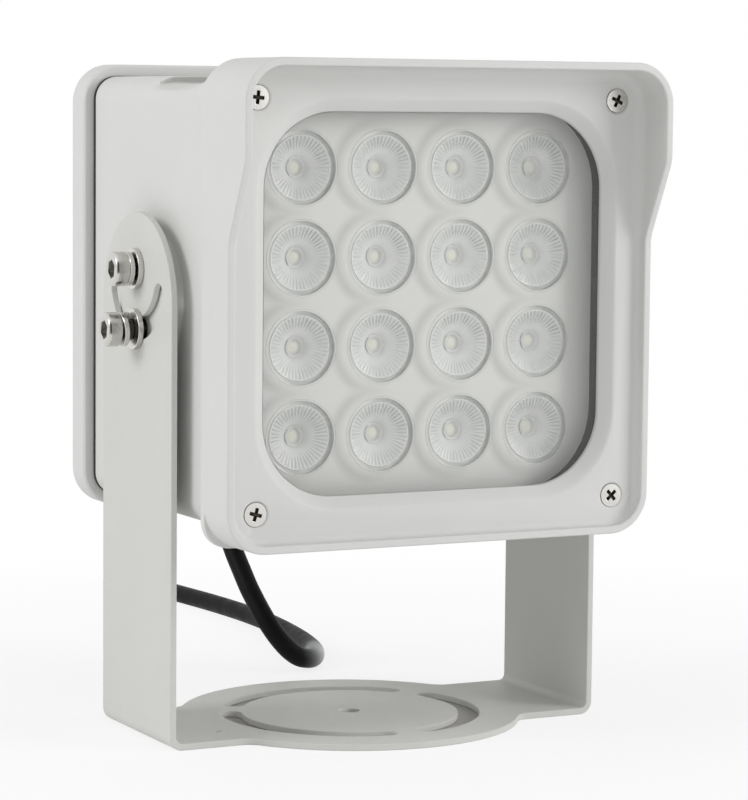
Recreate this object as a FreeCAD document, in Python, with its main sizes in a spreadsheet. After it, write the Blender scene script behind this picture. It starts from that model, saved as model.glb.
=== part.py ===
import FreeCAD, Part
import math
import os
import re
import Sketcher

# Square LED camera illuminator on a folded U bracket. Millimetres, +Z up. The origin is the centre of
# the bracket's underside, the lit face looks towards -Y and the tilt axis runs along X.

Vector = FreeCAD.Vector

SIZES = {
    # Folded bracket
    "sheet": 2.0,
    "arm_width": 52.0,
    "arm_arc_drop": 1.45,
    "bend_inside": 2.0,
    "base_radius": 51.5,
    "strap_fillet": 6.0,
    "base_slot_ring": 36.3,
    "base_slot_width": 6.5,
    "base_slot_sweep_angle": 98.0,
    "base_slot_turn_angle": 92.0,
    "base_hole": 6.2,
    "pilot_hole": 1.8,
    "pilot_side": 49.5,
    "pilot_front": 13.0,
    # Tilt pivot and its locking slot
    "pivot_rise": 8.05,
    "lock_ring": 17.5,
    "lock_slot_width": 6.6,
    "lock_swing_angle": 67.0,
    "pivot_clearance": 0.05,
    # Front bezel with its hood
    "head_height": 129.45,
    "bezel_reach": 4.0,
    "bezel_over": 4.85,
    "bezel_corner": 12.0,
    "bezel_back": 43.5,
    "bezel_depth": 16.5,
    "rim_wall": 2.3,
    "rim_depth": 3.5,
    "hood_reach": 11.0,
    "cheek_top_rise": 40.55,
    "cheek_foot_rise": 18.05,
    "cheek_blend": 9.0,
    "window_corner": 21.5,
    "window_bevel_width": 3.6,
    "window_bevel_depth": 3.3,
    "seat_depth": 9.1,
    # Pane, seals and lens plate
    "pane_side_margin": 7.8,
    "pane_end_margin": 8.75,
    "pane_lap": 6.0,
    "pane_corner": 21.0,
    "pane_thick": 4.0,
    "pane_gap": 0.3,
    "seal_thick": 4.0,
    "seal_width": 3.5,
    "plate_thick": 1.5,
    "front_gasket_thick": 0.6,
    "front_gasket_inset": 1.0,
    "front_gasket_width": 5.7,
    # Lenses and lamps
    "lens_margin": 3.0,
    "lens_rim": 21.4,
    "lens_hole": 22.0,
    "lens_inset": 0.1,
    "lens_rim_thick": 1.6,
    "lens_neck": 20.2,
    "lens_foot": 11.2,
    "lens_foot_tall": 1.2,
    "lens_shoulder": 16.8,
    "lens_pocket": 6.4,
    "lens_pocket_deep": 3.2,
    "lens_tall": 10.3,
    "lamp_side": 3.5,
    "lamp_base": 0.7,
    "lamp_dome": 2.6,
    "lamp_dome_tall": 1.2,
    # Lamp board on the housing's web
    "board_side_gap": 3.3,
    "board_end_gap": 1.1,
    "lamp_board_corner": 14.0,
    "lamp_board_thick": 1.6,
    "thermal_pad_thick": 0.5,
    "thermal_pad_inset": 2.0,
    # Main housing
    "body_width": 127.6,
    "body_tall": 127.8,
    "body_corner": 7.0,
    "body_rear": 48.6,
    "body_wall": 3.0,
    "flange_thick": 1.5,
    "flange_inset": 0.3,
    "flange_corner": 8.0,
    "web_thick": 4.0,
    "trough_rear": 9.0,
    "trough_front": 17.0,
    "trough_deep": 2.3,
    "rise_middle": 30.0,
    "rise_middle_tall": 2.4,
    "rise_tall": 6.4,
    "side_boss_radius": 18.5,
    "side_boss_drop": 0.7,
    "side_boss_proud": 4.05,
    "side_boss_fillet": 1.5,
    "side_boss_gap": 0.3,
    "post_radius": 5.0,
    "post_side_inset": 6.3,
    "post_end_inset": 6.1,
    "rear_post_long": 14.0,
    # Rear cover
    "cover_reach": 3.4,
    "cover_over": 3.65,
    "cover_corner": 11.5,
    "cover_depth": 11.2,
    "cover_wall": 3.2,
    "cover_edge": 2.5,
    "cover_bevel": 0.6,
    "rear_gasket_thick": 0.6,
    "rear_gasket_proud": 0.7,
    "rear_gasket_width": 3.2,
    # Countersunk M4 screws of the bezel and the cover
    "case_screw": 4.0,
    "case_screw_head": 7.6,
    "case_screw_mouth": 7.7,
    "case_screw_length": 20.0,
    "case_screw_hole": 4.4,
    "case_thread_deep": 10.5,
    "thread_gap": 0.02,
    "thread_spare": 1.0,
    # M6 socket screws and their washers
    "cap_screw": 6.0,
    "cap_screw_head": 10.0,
    "cap_screw_length": 12.0,
    "cap_screw_socket": 5.0,
    "cap_screw_socket_deep": 3.0,
    "cap_screw_edge": 0.6,
    "washer_outside": 12.0,
    "washer_inside": 6.4,
    "washer_thick": 1.6,
    "washer_gap": 0.1,
    "spring_outside": 10.0,
    "spring_thick": 1.6,
    "spring_slit": 1.2,
    "lock_slack": 1.5,
    # Driver inside the housing
    "driver_side_gap": 18.8,
    "driver_end_gap": 5.6,
    "driver_thick": 1.6,
    "standoff_long": 12.0,
    "standoff_radius": 3.0,
    "standoff_side_inset": 6.0,
    "standoff_end_inset": 7.0,
    "small_screw": 3.0,
    "small_screw_head": 5.5,
    "small_screw_head_tall": 2.0,
    "small_screw_length": 6.0,
    "small_screw_hole": 3.3,
    "capacitor_radius": 8.0,
    "capacitor_long": 25.0,
    "capacitor_side": 20.0,
    "capacitor_rise": 24.0,
    "coil_side": 24.0,
    "coil_tall": 20.0,
    "coil_corner": 2.0,
    "coil_drop": 6.0,
    "chip_side": 10.0,
    "chip_tall": 3.0,
    "chip_end_inset": 11.0,
    "moulded_corner": 0.5,
    "terminal_width": 15.0,
    "terminal_tall": 10.0,
    "terminal_deep": 10.0,
    "lead_radius": 1.1,
    "lead_spread": 5.0,
    "lead_gap": 0.1,
    "lamp_lead_inset": 6.5,
    "lamp_lead_hole": 8.0,
    # Cable gland and cable
    "gland_drop": 37.45,
    "gland_thread": 16.0,
    "gland_hex": 22.0,
    "gland_hex_long": 5.0,
    "gland_upper_thread": 15.0,
    "gland_neck_long": 10.0,
    "gland_stub_long": 10.0,
    "gland_nut_thick": 4.0,
    "gland_cap_outside": 20.0,
    "gland_cap_long": 15.0,
    "gland_cap_gap": 0.6,
    "gland_cap_round": 3.5,
    "gland_cap_end": 3.0,
    "gland_seat": 11.0,
    "gland_seal_long": 10.0,
    "cable": 6.4,
    "cable_gap": 0.4,
    "cable_inside": 14.0,
    # How far a cut runs past the material that it clears
    "overrun": 5.0,
}

ACROSS = (-1, 1)
LENSES_IN_ROW = 4
BASE_SLOTS = 3

# Cable centreline behind the head, from below the gland to the floor, and then along the floor
GLAND_RUN = 13.0
RUN_SHARE = 0.45
CABLE_DROP = [
    (1.5, 106.0, 84.5),
    (2.5, 110.5, 70.0),
    (3.5, 107.5, 54.0),
    (5.0, 99.0, 39.0),
    (6.0, 93.5, 32.0),
]
CABLE_FLOOR = [
    (6.0, 93.5, 32.0),
    (7.0, 88.0, 25.0),
    (11.0, 79.5, 13.0),
    (18.0, 76.3, 4.8),
    (25.0, 77.3, 3.3),
    (30.2, 84.6, 3.3),
    (34.2, 97.5, 3.3),
    (39.2, 121.0, 3.3),
    (43.2, 156.0, 3.3),
    (42.5, 190.0, 3.3),
    (38.5, 225.0, 3.3),
    (34.0, 250.0, 3.3),
    (33.0, 275.0, 3.3),
]

document = FreeCAD.newDocument("camera_illuminator")
sheet = document.addObject("Spreadsheet::Sheet", "Sizes")
for row, (name, value) in enumerate(SIZES.items(), start=1):
    sheet.set(f"A{row}", name)
    sheet.set(f"B{row}", str(value))
    sheet.setAlias(f"B{row}", name)
document.recompute()

KNOWN = re.compile(r"\b(" + "|".join(sorted(SIZES, key=len, reverse=True)) + r")\b")


def bound(formula):
    """Return a formula of size names as an expression on the sheet's cells."""
    return KNOWN.sub(r"Sizes.\1", str(formula))


def size(formula):
    """Return the present value of a formula of size names."""
    found = sheet.evalExpression(bound(formula))
    return float(getattr(found, "Value", found))


class Outline:
    """A sketch on one of its body's origin planes whose sizes follow the sheet."""

    def __init__(self, body, plane, level):
        self.sketch = body.newObject("Sketcher::SketchObject", f"{body.Name}_outline")
        origin_plane = [part for part in body.Origin.OriginFeatures if part.Role == plane][0]
        self.sketch.AttachmentSupport = [(origin_plane, "")]
        self.sketch.MapMode = "FlatFace"
        self.sketch.setExpression("AttachmentOffset.Base.z", bound(level))

    def bind(self, kind, places, formula):
        """Add a dimension whose value follows a formula."""
        index = self.sketch.addConstraint(Sketcher.Constraint(kind, *places, size(formula)))
        self.sketch.setExpression(f"Constraints[{index}]", bound(formula))

    def pin(self, shape, point, across, up):
        """Hold one point of a shape at a place measured from the sketch's origin."""
        self.bind("DistanceX", (-1, 1, shape, point), across)
        self.bind("DistanceY", (-1, 1, shape, point), up)

    def join(self, kind, *places):
        """Join two shapes without a dimension."""
        self.sketch.addConstraint(Sketcher.Constraint(kind, *places))

    def circle(self, radius, across="0", up="0"):
        """Draw a circle."""
        centre = Vector(size(across), size(up), 0)
        shape = self.sketch.addGeometry(Part.Circle(centre, Vector(0, 0, 1), size(radius)))
        self.bind("Radius", (shape,), radius)
        self.pin(shape, 3, across, up)
        return self

    def polygon(self, corners):
        """Draw straight edges through corners given as pairs of formulas."""
        places = [Vector(size(across), size(up), 0) for across, up in corners]
        first = self.sketch.GeometryCount
        for start, end in zip(places, places[1:] + places[:1]):
            self.sketch.addGeometry(Part.LineSegment(start, end))
        for index, (across, up) in enumerate(corners):
            following = first + (index + 1) % len(corners)
            self.join("Coincident", first + index, 2, following, 1)
            self.pin(first + index, 1, across, up)
        return self

    def regular_hexagon(self, flats, across="0", up="0"):
        """Draw a hexagon of a given width over its flats."""
        reach = f"({flats}) / sqrt(3)"
        corners = []
        for turn in range(0, 360, 60):
            corners.append((f"{across} + {reach} * cos({turn})", f"{up} + {reach} * sin({turn})"))
        return self.polygon(corners)

    def rounded_rectangle(self, half_width, half_height, corner, up="0"):
        """Draw a rectangle with four equal round corners, centred at a height."""
        wide, tall, bend, middle = size(half_width), size(half_height), size(corner), size(up)
        first = self.sketch.GeometryCount
        starts = [
            (bend - wide, middle - tall),
            (wide, middle - tall + bend),
            (wide - bend, middle + tall),
            (-wide, middle + tall - bend),
        ]
        ends = [
            (wide - bend, middle - tall),
            (wide, middle + tall - bend),
            (bend - wide, middle + tall),
            (-wide, middle - tall + bend),
        ]
        centres = [
            (wide - bend, middle - tall + bend),
            (wide - bend, middle + tall - bend),
            (bend - wide, middle + tall - bend),
            (bend - wide, middle - tall + bend),
        ]
        for side in range(4):
            self.sketch.addGeometry(Part.LineSegment(Vector(*starts[side], 0), Vector(*ends[side], 0)))
            circle = Part.Circle(Vector(*centres[side], 0), Vector(0, 0, 1), bend)
            begin = math.radians(90 * side - 90)
            self.sketch.addGeometry(Part.ArcOfCircle(circle, begin, begin + math.pi / 2))
        for index in range(8):
            self.join("Tangent", first + index, 2, first + (index + 1) % 8, 1)
        for index in (0, 4):
            self.join("Horizontal", first + index)
        for index in (2, 6):
            self.join("Vertical", first + index)
        for index in (3, 5, 7):
            self.join("Equal", first + 1, first + index)
        self.bind("Radius", (first + 1,), corner)
        self.bind("DistanceX", (-1, 1, first + 2, 1), half_width)
        self.bind("DistanceX", (-1, 1, first + 6, 1), f"-({half_width})")
        self.bind("DistanceY", (-1, 1, first, 1), f"({up}) - ({half_height})")
        self.bind("DistanceY", (-1, 1, first + 4, 1), f"({up}) + ({half_height})")
        return self

    def arc_slot(self, ring, width, begin, end, up="0"):
        """Draw a round-ended slot along a ring, between two angles in degrees."""
        centre = Vector(0, size(up), 0)
        angles = (size(begin), size(end))
        first = self.sketch.GeometryCount
        for radius in (size(ring) + size(width) / 2, size(ring) - size(width) / 2):
            circle = Part.Circle(centre, Vector(0, 0, 1), radius)
            sweep = [math.radians(angle) for angle in angles]
            self.sketch.addGeometry(Part.ArcOfCircle(circle, *sweep))
        for angle, turn in ((angles[1], 0), (angles[0], 180)):
            radians = math.radians(angle)
            place = centre + Vector(math.cos(radians), math.sin(radians), 0) * size(ring)
            circle = Part.Circle(place, Vector(0, 0, 1), size(width) / 2)
            start = math.radians(angle + turn)
            self.sketch.addGeometry(Part.ArcOfCircle(circle, start, start + math.pi))
        outer, inner, far_cap, near_cap = range(first, first + 4)
        self.join("Coincident", outer, 3, inner, 3)
        self.join("Tangent", outer, 2, far_cap, 1)
        self.join("Tangent", far_cap, 2, inner, 2)
        self.join("Tangent", inner, 1, near_cap, 1)
        self.join("Tangent", near_cap, 2, outer, 1)
        self.pin(outer, 3, "0", up)
        self.bind("Radius", (outer,), f"{ring} + ({width}) / 2")
        self.bind("Radius", (inner,), f"{ring} - ({width}) / 2")
        self.bind("DistanceX", (-1, 1, far_cap, 3), f"{ring} * cos({end})")
        self.bind("DistanceX", (-1, 1, near_cap, 3), f"{ring} * cos({begin})")
        return self

    def arch(self, radius, centre_up, top, spare):
        """Draw the area above a half round of a given radius, up to a level."""
        wide, middle = size(radius), size(centre_up)
        circle = Part.Circle(Vector(0, middle, 0), Vector(0, 0, 1), wide)
        arc = self.sketch.addGeometry(Part.ArcOfCircle(circle, 0, math.pi))
        corners = [
            (f"-({radius})", centre_up),
            (f"-({radius}) - ({spare})", centre_up),
            (f"-({radius}) - ({spare})", top),
            (f"({radius}) + ({spare})", top),
            (f"({radius}) + ({spare})", centre_up),
            (radius, centre_up),
        ]
        places = [Vector(size(across), size(up), 0) for across, up in corners]
        for start, end in zip(places, places[1:]):
            self.sketch.addGeometry(Part.LineSegment(start, end))
        for index in range(1, 5):
            self.join("Coincident", arc + index, 2, arc + index + 1, 1)
            self.pin(arc + index, 2, *corners[index])
        self.join("Coincident", arc, 2, arc + 1, 1)
        self.join("Coincident", arc, 1, arc + 5, 2)
        self.pin(arc, 3, "0", centre_up)
        self.bind("Radius", (arc,), radius)
        self.bind("DistanceY", (-1, 1, arc, 1), centre_up)
        self.bind("DistanceY", (-1, 1, arc, 2), centre_up)
        return self


class Piece:
    """One sub-part: a body built up from outlines on its own origin planes."""

    def __init__(self, name):
        self.body = document.addObject("PartDesign::Body", name)
        self.body.Label = name

    def front(self, level="0"):
        """Start an outline in a plane seen from the front, a distance in front of the pivot axis."""
        return Outline(self.body, "XZ_Plane", level)

    def side(self, level="0"):
        """Start an outline in a plane seen from the side, across Y and up Z."""
        return Outline(self.body, "YZ_Plane", level)

    def plan(self, level="0"):
        """Start an outline in a level plane."""
        return Outline(self.body, "XY_Plane", level)

    def feature(self, kind, outline, **settings):
        """Add one feature on an outline and make it the body's tip."""
        made = self.body.newObject(f"PartDesign::{kind}", f"{self.body.Name}_{kind}")
        made.Profile = outline.sketch
        outline.sketch.Visibility = False
        for key, setting in settings.items():
            setattr(made, key, setting)
        self.body.Tip = made
        return made

    def pad(self, outline, length, back=False, both=False):
        """Add material from an outline."""
        made = self.feature("Pad", outline, Reversed=back, Midplane=both)
        made.setExpression("Length", bound(length))
        return made

    def cut(self, outline, length, ahead=False, both=False):
        """Take material away behind an outline, or ahead of it."""
        made = self.feature("Pocket", outline, Reversed=ahead, Midplane=both)
        made.setExpression("Length", bound(length))
        return made

    def turn(self, outline):
        """Turn an outline about its own level axis."""
        made = self.feature("Revolution", outline, ReferenceAxis=(outline.sketch, ["H_Axis"]))
        made.Angle = 360
        return made

    def loft(self, outlines, away=False):
        """Add or take away the form between several outlines."""
        made = self.feature("SubtractiveLoft" if away else "AdditiveLoft", outlines[0])
        made.Sections = [outline.sketch for outline in outlines[1:]]
        for outline in outlines[1:]:
            outline.sketch.Visibility = False
        return made

    def dress(self, kind, amount, wanted):
        """Fillet or chamfer the edges of the present shape that answer a test."""
        document.recompute()
        base = self.body.Tip
        names = []
        for index, edge in enumerate(base.Shape.Edges, start=1):
            if wanted(edge):
                names.append(f"Edge{index}")
        if not names:
            raise RuntimeError(f"{self.body.Label}: no edge for its {kind}")
        made = self.body.newObject(f"PartDesign::{kind}", f"{self.body.Name}_{kind}")
        made.Base = (base, names)
        made.setExpression("Radius" if kind == "Fillet" else "Size", bound(amount))
        self.body.Tip = made
        return made

    def stand_at(self, across, up):
        """Move the body to its place across and up."""
        self.body.setExpression("Placement.Base.x", bound(across))
        self.body.setExpression("Placement.Base.z", bound(up))


def close(first, second):
    """Tell whether two lengths agree."""
    return abs(first - second) < 1e-4


def all_points(edge, test):
    """Tell whether an edge's ends and middle answer a test."""
    middle = edge.valueAt((edge.FirstParameter + edge.LastParameter) / 2)
    return all(test(point) for point in [vertex.Point for vertex in edge.Vertexes] + [middle])


def is_round(edge, radius):
    """Tell whether an edge is a full circle or an arc of a given radius."""
    return hasattr(edge.Curve, "Radius") and close(edge.Curve.Radius, radius)


CHEST = "head_height"
PIVOT = "(head_height + pivot_rise)"
LOCK = "(head_height + pivot_rise - lock_ring)"
GLAND = "(head_height - gland_drop)"
BODY_HALF = ("body_width / 2", "body_tall / 2")
CAVITY_HALF = ("(body_width / 2 - body_wall)", "(body_tall / 2 - trough_deep - body_wall)")
BEZEL_HALF = ("(body_width / 2 + bezel_reach)", "(body_tall / 2 + bezel_over)")
PANE_HALF = (f"({BEZEL_HALF[0]} - pane_side_margin)", f"({BEZEL_HALF[1]} - pane_end_margin)")
WINDOW_HALF = (f"({PANE_HALF[0]} - pane_lap)", f"({PANE_HALF[1]} - pane_lap)")
PITCH = tuple(f"(({half} - lens_margin) * 2 / {LENSES_IN_ROW})" for half in WINDOW_HALF)
BOARD_HALF = (f"({CAVITY_HALF[0]} - board_side_gap)", f"({CAVITY_HALF[1]} - board_end_gap)")
DRIVER_HALF = (f"({CAVITY_HALF[0]} - driver_side_gap)", f"({CAVITY_HALF[1]} - driver_end_gap)")
LAMP_LEAD_UP = f"(head_height + {BOARD_HALF[1]} - lamp_lead_inset)"
ARM_INNER = "(body_width / 2 + side_boss_proud + side_boss_gap)"
CASE_FACE = "bezel_back + bezel_depth - rim_depth"
PANE_FRONT = "bezel_back + seat_depth"
PLATE_FRONT = "(bezel_back + seat_depth - pane_thick - seal_thick)"
BODY_FRONT = "(bezel_back - front_gasket_thick)"
LAMP_BOARD_FRONT = f"({PLATE_FRONT} - lens_inset - lens_tall)"
WEB_FRONT = f"({LAMP_BOARD_FRONT} - lamp_board_thick - thermal_pad_thick)"
WEB_REAR = f"({WEB_FRONT} - web_thick)"
DRIVER_FRONT = f"({WEB_REAR} - standoff_long)"
DRIVER_REAR = f"({DRIVER_FRONT} - driver_thick)"
COVER_FRONT = "(body_rear + rear_gasket_thick)"
COVER_REAR = f"({COVER_FRONT} + cover_depth)"
ARM_OUTER = f"({ARM_INNER} + sheet)"
WASHER_FACE = f"({ARM_OUTER} + washer_gap + washer_thick)"
CAP_END = f"({COVER_REAR} + gland_hex_long + gland_cap_gap + gland_cap_long)"
CABLE_RADIUS = "cable / 2"


def make_mounting_bracket():
    """Fold the U bracket: two round-topped arms on a round base with three arc slots."""
    piece = Piece("mounting_bracket")
    arm_arc = "(head_height - arm_arc_drop)"
    arm_top = f"({arm_arc} + arm_width / 2)"
    strip = piece.front()
    strip.polygon(
        [
            (f"-{ARM_OUTER}", arm_top),
            (f"-{ARM_OUTER}", "0"),
            (ARM_OUTER, "0"),
            (ARM_OUTER, arm_top),
            (ARM_INNER, arm_top),
            (ARM_INNER, "sheet"),
            (f"-{ARM_INNER}", "sheet"),
            (f"-{ARM_INNER}", arm_top),
        ]
    )
    piece.pad(strip, "arm_width", both=True)
    half = size(ARM_INNER)
    thick = size("sheet")

    def outer_bend(edge):
        return all_points(edge, lambda p: close(abs(p.x), half + thick) and close(p.z, 0))

    def inner_bend(edge):
        return all_points(edge, lambda p: close(abs(p.x), half) and close(p.z, thick))

    piece.dress("Fillet", "bend_inside + sheet", outer_bend)
    piece.dress("Fillet", "bend_inside", inner_bend)
    piece.pad(piece.plan().circle("base_radius"), "sheet")
    strap = size("arm_width") / 2

    def strap_corner(edge):
        middle = edge.valueAt((edge.FirstParameter + edge.LastParameter) / 2)
        upright = close(edge.Vertexes[0].X, edge.Vertexes[-1].X) and close(middle.z, thick / 2)
        on_disc = close(math.hypot(middle.x, middle.y), size("base_radius"))
        return upright and on_disc and close(abs(middle.y), strap)

    piece.dress("Fillet", "strap_fillet", strap_corner)
    across = f"2 * {ARM_OUTER} + overrun"
    top = piece.side()
    top.arch("arm_width / 2", arm_arc, f"{arm_top} + overrun", "sheet")
    piece.cut(top, across, both=True)
    holes = piece.side().circle("cap_screw / 2 + pivot_clearance", "0", PIVOT)
    piece.cut(holes, across, both=True)
    slot = piece.side()
    slot.arc_slot("lock_ring", "lock_slot_width", "-90 - lock_swing_angle", "-90 + lock_swing_angle", PIVOT)
    piece.cut(slot, across, both=True)
    for number in range(BASE_SLOTS):
        middle = f"base_slot_turn_angle + {360 * number / BASE_SLOTS}"
        opening = piece.plan("sheet")
        opening.arc_slot(
            "base_slot_ring",
            "base_slot_width",
            f"{middle} - base_slot_sweep_angle / 2",
            f"{middle} + base_slot_sweep_angle / 2",
        )
        piece.cut(opening, "sheet + overrun", both=True)
    small = piece.plan("sheet").circle("base_hole / 2")
    small.circle("pilot_hole / 2", "-pilot_side", "-pilot_front")
    piece.cut(small, "sheet + overrun", both=True)
    return piece


def make_front_bezel():
    """Cast the bezel: hooded rim with sloping cheeks, bevelled window and a seat for the pane."""
    piece = Piece("front_bezel")
    rim = "(bezel_back + bezel_depth)"
    tip = "(bezel_back + bezel_depth + hood_reach)"
    block = piece.front("bezel_back")
    block.rounded_rectangle(*BEZEL_HALF, "bezel_corner", CHEST)
    piece.pad(block, "bezel_depth + hood_reach")
    cheek_foot = "(head_height + cheek_foot_rise)"
    cheek_top = "(head_height + cheek_top_rise)"
    low = f"head_height - {BEZEL_HALF[1]} - overrun"
    cheeks = piece.side()
    cheeks.polygon(
        [
            (f"-{rim}", cheek_foot),
            (f"-{tip}", cheek_top),
            (f"-{tip} - overrun", cheek_top),
            (f"-{tip} - overrun", low),
            (f"-{rim}", low),
        ]
    )
    piece.cut(cheeks, f"2 * {BEZEL_HALF[0]} + overrun", both=True)

    def cheek_bend(edge):
        at_foot = all_points(edge, lambda p: close(-p.y, size(rim)) and close(p.z, size(cheek_foot)))
        at_top = all_points(edge, lambda p: close(-p.y, size(tip)) and close(p.z, size(cheek_top)))
        return at_foot or at_top

    piece.dress("Fillet", "cheek_blend", cheek_bend)
    hollow = piece.front(tip)
    inside = [f"{half} - rim_wall" for half in BEZEL_HALF]
    hollow.rounded_rectangle(*inside, "bezel_corner - rim_wall", CHEST)
    piece.cut(hollow, "hood_reach + rim_depth")
    wide_edge = piece.front(CASE_FACE)
    outer = [f"{half} + window_bevel_width" for half in WINDOW_HALF]
    wide_edge.rounded_rectangle(*outer, "window_corner + window_bevel_width", CHEST)
    near_edge = piece.front(f"{CASE_FACE} - window_bevel_depth")
    near_edge.rounded_rectangle(*WINDOW_HALF, "window_corner", CHEST)
    piece.loft([wide_edge, near_edge], away=True)
    opening = piece.front(CASE_FACE)
    opening.rounded_rectangle(*WINDOW_HALF, "window_corner", CHEST)
    piece.cut(opening, "bezel_depth")
    seat = piece.front("bezel_back")
    seat.rounded_rectangle(*[f"{half} + pane_gap" for half in PANE_HALF], "pane_corner + pane_gap", CHEST)
    piece.cut(seat, "seat_depth", ahead=True)
    holes = piece.front(CASE_FACE)
    for place in case_screw_places():
        holes.circle("case_screw_hole / 2", *place)
    piece.cut(holes, "bezel_depth")

    def screw_mouth(edge):
        return is_round(edge, size("case_screw_hole / 2")) and close(-edge.Vertexes[0].Y, size(CASE_FACE))

    piece.dress("Chamfer", "(case_screw_mouth - case_screw_hole) / 2", screw_mouth)
    return piece


def make_front_glass():
    """Cut the flat pane with round corners."""
    piece = Piece("front_glass")
    pane = piece.front(f"{PANE_FRONT} - pane_thick")
    pane.rounded_rectangle(*PANE_HALF, "pane_corner", CHEST)
    piece.pad(pane, "pane_thick")
    return piece


def make_ring(name, level, thick, outer, inner, up):
    """Make a flat frame between two rounded rectangles."""
    piece = Piece(name)
    ring = piece.front(level)
    ring.rounded_rectangle(*outer, up)
    ring.rounded_rectangle(*inner, up)
    piece.pad(ring, thick)
    return piece


def make_glass_seal():
    """Make the black frame that presses the pane into the bezel."""
    return make_ring(
        "glass_seal",
        PLATE_FRONT,
        "seal_thick",
        (*PANE_HALF, "pane_corner"),
        (*[f"{half} - seal_width" for half in PANE_HALF], "pane_corner - seal_width"),
        CHEST,
    )


def make_bezel_gasket():
    """Make the flat gasket between the bezel and the housing's flange."""
    outer = "- front_gasket_inset"
    inner = "- front_gasket_inset - front_gasket_width"
    return make_ring(
        "bezel_gasket",
        BODY_FRONT,
        "front_gasket_thick",
        [f"{length} {outer}" for length in (*BEZEL_HALF, "bezel_corner")],
        [f"{length} {inner}" for length in (*BEZEL_HALF, "bezel_corner")],
        CHEST,
    )


def make_rear_gasket():
    """Make the gasket that shows as a black line around the rear of the housing."""
    return make_ring(
        "rear_gasket",
        f"-{COVER_FRONT}",
        "rear_gasket_thick",
        [f"{length} + rear_gasket_proud" for length in (*BODY_HALF, "body_corner")],
        [f"{length} - rear_gasket_width" for length in (*BODY_HALF, "body_corner")],
        CHEST,
    )


def make_lens_plate():
    """Make the white plate with a hole for each lens."""
    piece = Piece("lens_plate")
    plate = piece.front(f"{PLATE_FRONT} - plate_thick")
    plate.rounded_rectangle(*PANE_HALF, "pane_corner", CHEST)
    for place in lens_places():
        plate.circle("lens_hole / 2", *place)
    piece.pad(plate, "plate_thick")
    return piece


def make_lens(name, place):
    """Turn one collimating lens: flat rim, curved side and a pocket over its lamp."""
    piece = Piece(name)
    front = f"-({PLATE_FRONT} - lens_inset)"
    foot = f"({front} + lens_tall)"
    piece.turn(
        piece.side().polygon(
            [
                (front, "0"),
                (front, "lens_rim / 2"),
                (f"{front} + lens_rim_thick", "lens_rim / 2"),
                (f"{front} + lens_rim_thick", "lens_neck / 2"),
                (f"{foot} - (lens_tall - lens_rim_thick) / 2", "lens_shoulder / 2"),
                (f"{foot} - lens_foot_tall", "lens_foot / 2"),
                (foot, "lens_foot / 2"),
                (foot, "lens_pocket / 2"),
                (f"{foot} - lens_pocket_deep", "lens_pocket / 2"),
                (f"{foot} - lens_pocket_deep", "0"),
            ]
        )
    )
    piece.stand_at(*place)
    return piece


def make_lamps():
    """Make the sixteen square LEDs, each with its low round dome."""
    piece = Piece("lamps")
    base = piece.front(LAMP_BOARD_FRONT)
    domes = piece.front(f"{LAMP_BOARD_FRONT} + lamp_base")
    for across, up in lens_places():
        corners = []
        for right, high in ((-1, -1), (1, -1), (1, 1), (-1, 1)):
            corners.append((f"{across} + {right} * lamp_side / 2", f"{up} + {high} * lamp_side / 2"))
        base.polygon(corners)
        domes.circle("lamp_dome / 2", across, up)
    piece.pad(base, "lamp_base")
    piece.pad(domes, "lamp_dome_tall")
    return piece


def corner_places(across, up):
    """Return four places at equal distances either side of the head's middle."""
    return [(f"{x} * {across}", f"head_height + {z} * {up}") for x in ACROSS for z in ACROSS]


def lens_places():
    """Return the places of the lenses, by rows from the top left."""
    places = []
    middle = (LENSES_IN_ROW - 1) / 2
    for row in range(LENSES_IN_ROW):
        for column in range(LENSES_IN_ROW):
            places.append((f"{column - middle} * {PITCH[0]}", f"head_height + {middle - row} * {PITCH[1]}"))
    return places


def lamp_screw_places():
    """Return the places of the lamp board's screws, between the lenses."""
    return [("0", "head_height")] + corner_places(*PITCH)


def case_screw_places():
    """Return the places of the four screws of the bezel or the rear cover."""
    return corner_places("(body_width / 2 - post_side_inset)", "(body_tall / 2 - post_end_inset)")


def standoff_places():
    """Return the places of the driver board's four standoffs."""
    across = f"({DRIVER_HALF[0]} - standoff_side_inset)"
    return corner_places(across, f"({DRIVER_HALF[1]} - standoff_end_inset)")


def lead_places(up):
    """Return the places of a pair of leads at a height."""
    return [(f"{x} * lead_spread / 2", up) for x in ACROSS]


def make_lamp_board():
    """Make the aluminium board that carries the lamps."""
    piece = Piece("lamp_board")
    board = piece.front(f"{LAMP_BOARD_FRONT} - lamp_board_thick")
    board.rounded_rectangle(*BOARD_HALF, "lamp_board_corner", CHEST)
    for place in lamp_screw_places():
        board.circle("small_screw_hole / 2", *place)
    for place in lead_places(LAMP_LEAD_UP):
        board.circle("lead_radius + lead_gap", *place)
    piece.pad(board, "lamp_board_thick")
    return piece


def make_thermal_pad():
    """Make the soft pad between the lamp board and the housing's web."""
    piece = Piece("thermal_pad")
    pad = piece.front(WEB_FRONT)
    half = [f"{length} - thermal_pad_inset" for length in BOARD_HALF]
    pad.rounded_rectangle(*half, "lamp_board_corner - thermal_pad_inset", CHEST)
    for place in lamp_screw_places():
        pad.circle("small_screw_hole / 2", *place)
    pad.circle("lamp_lead_hole / 2", "0", LAMP_LEAD_UP)
    piece.pad(pad, "thermal_pad_thick")
    return piece


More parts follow.
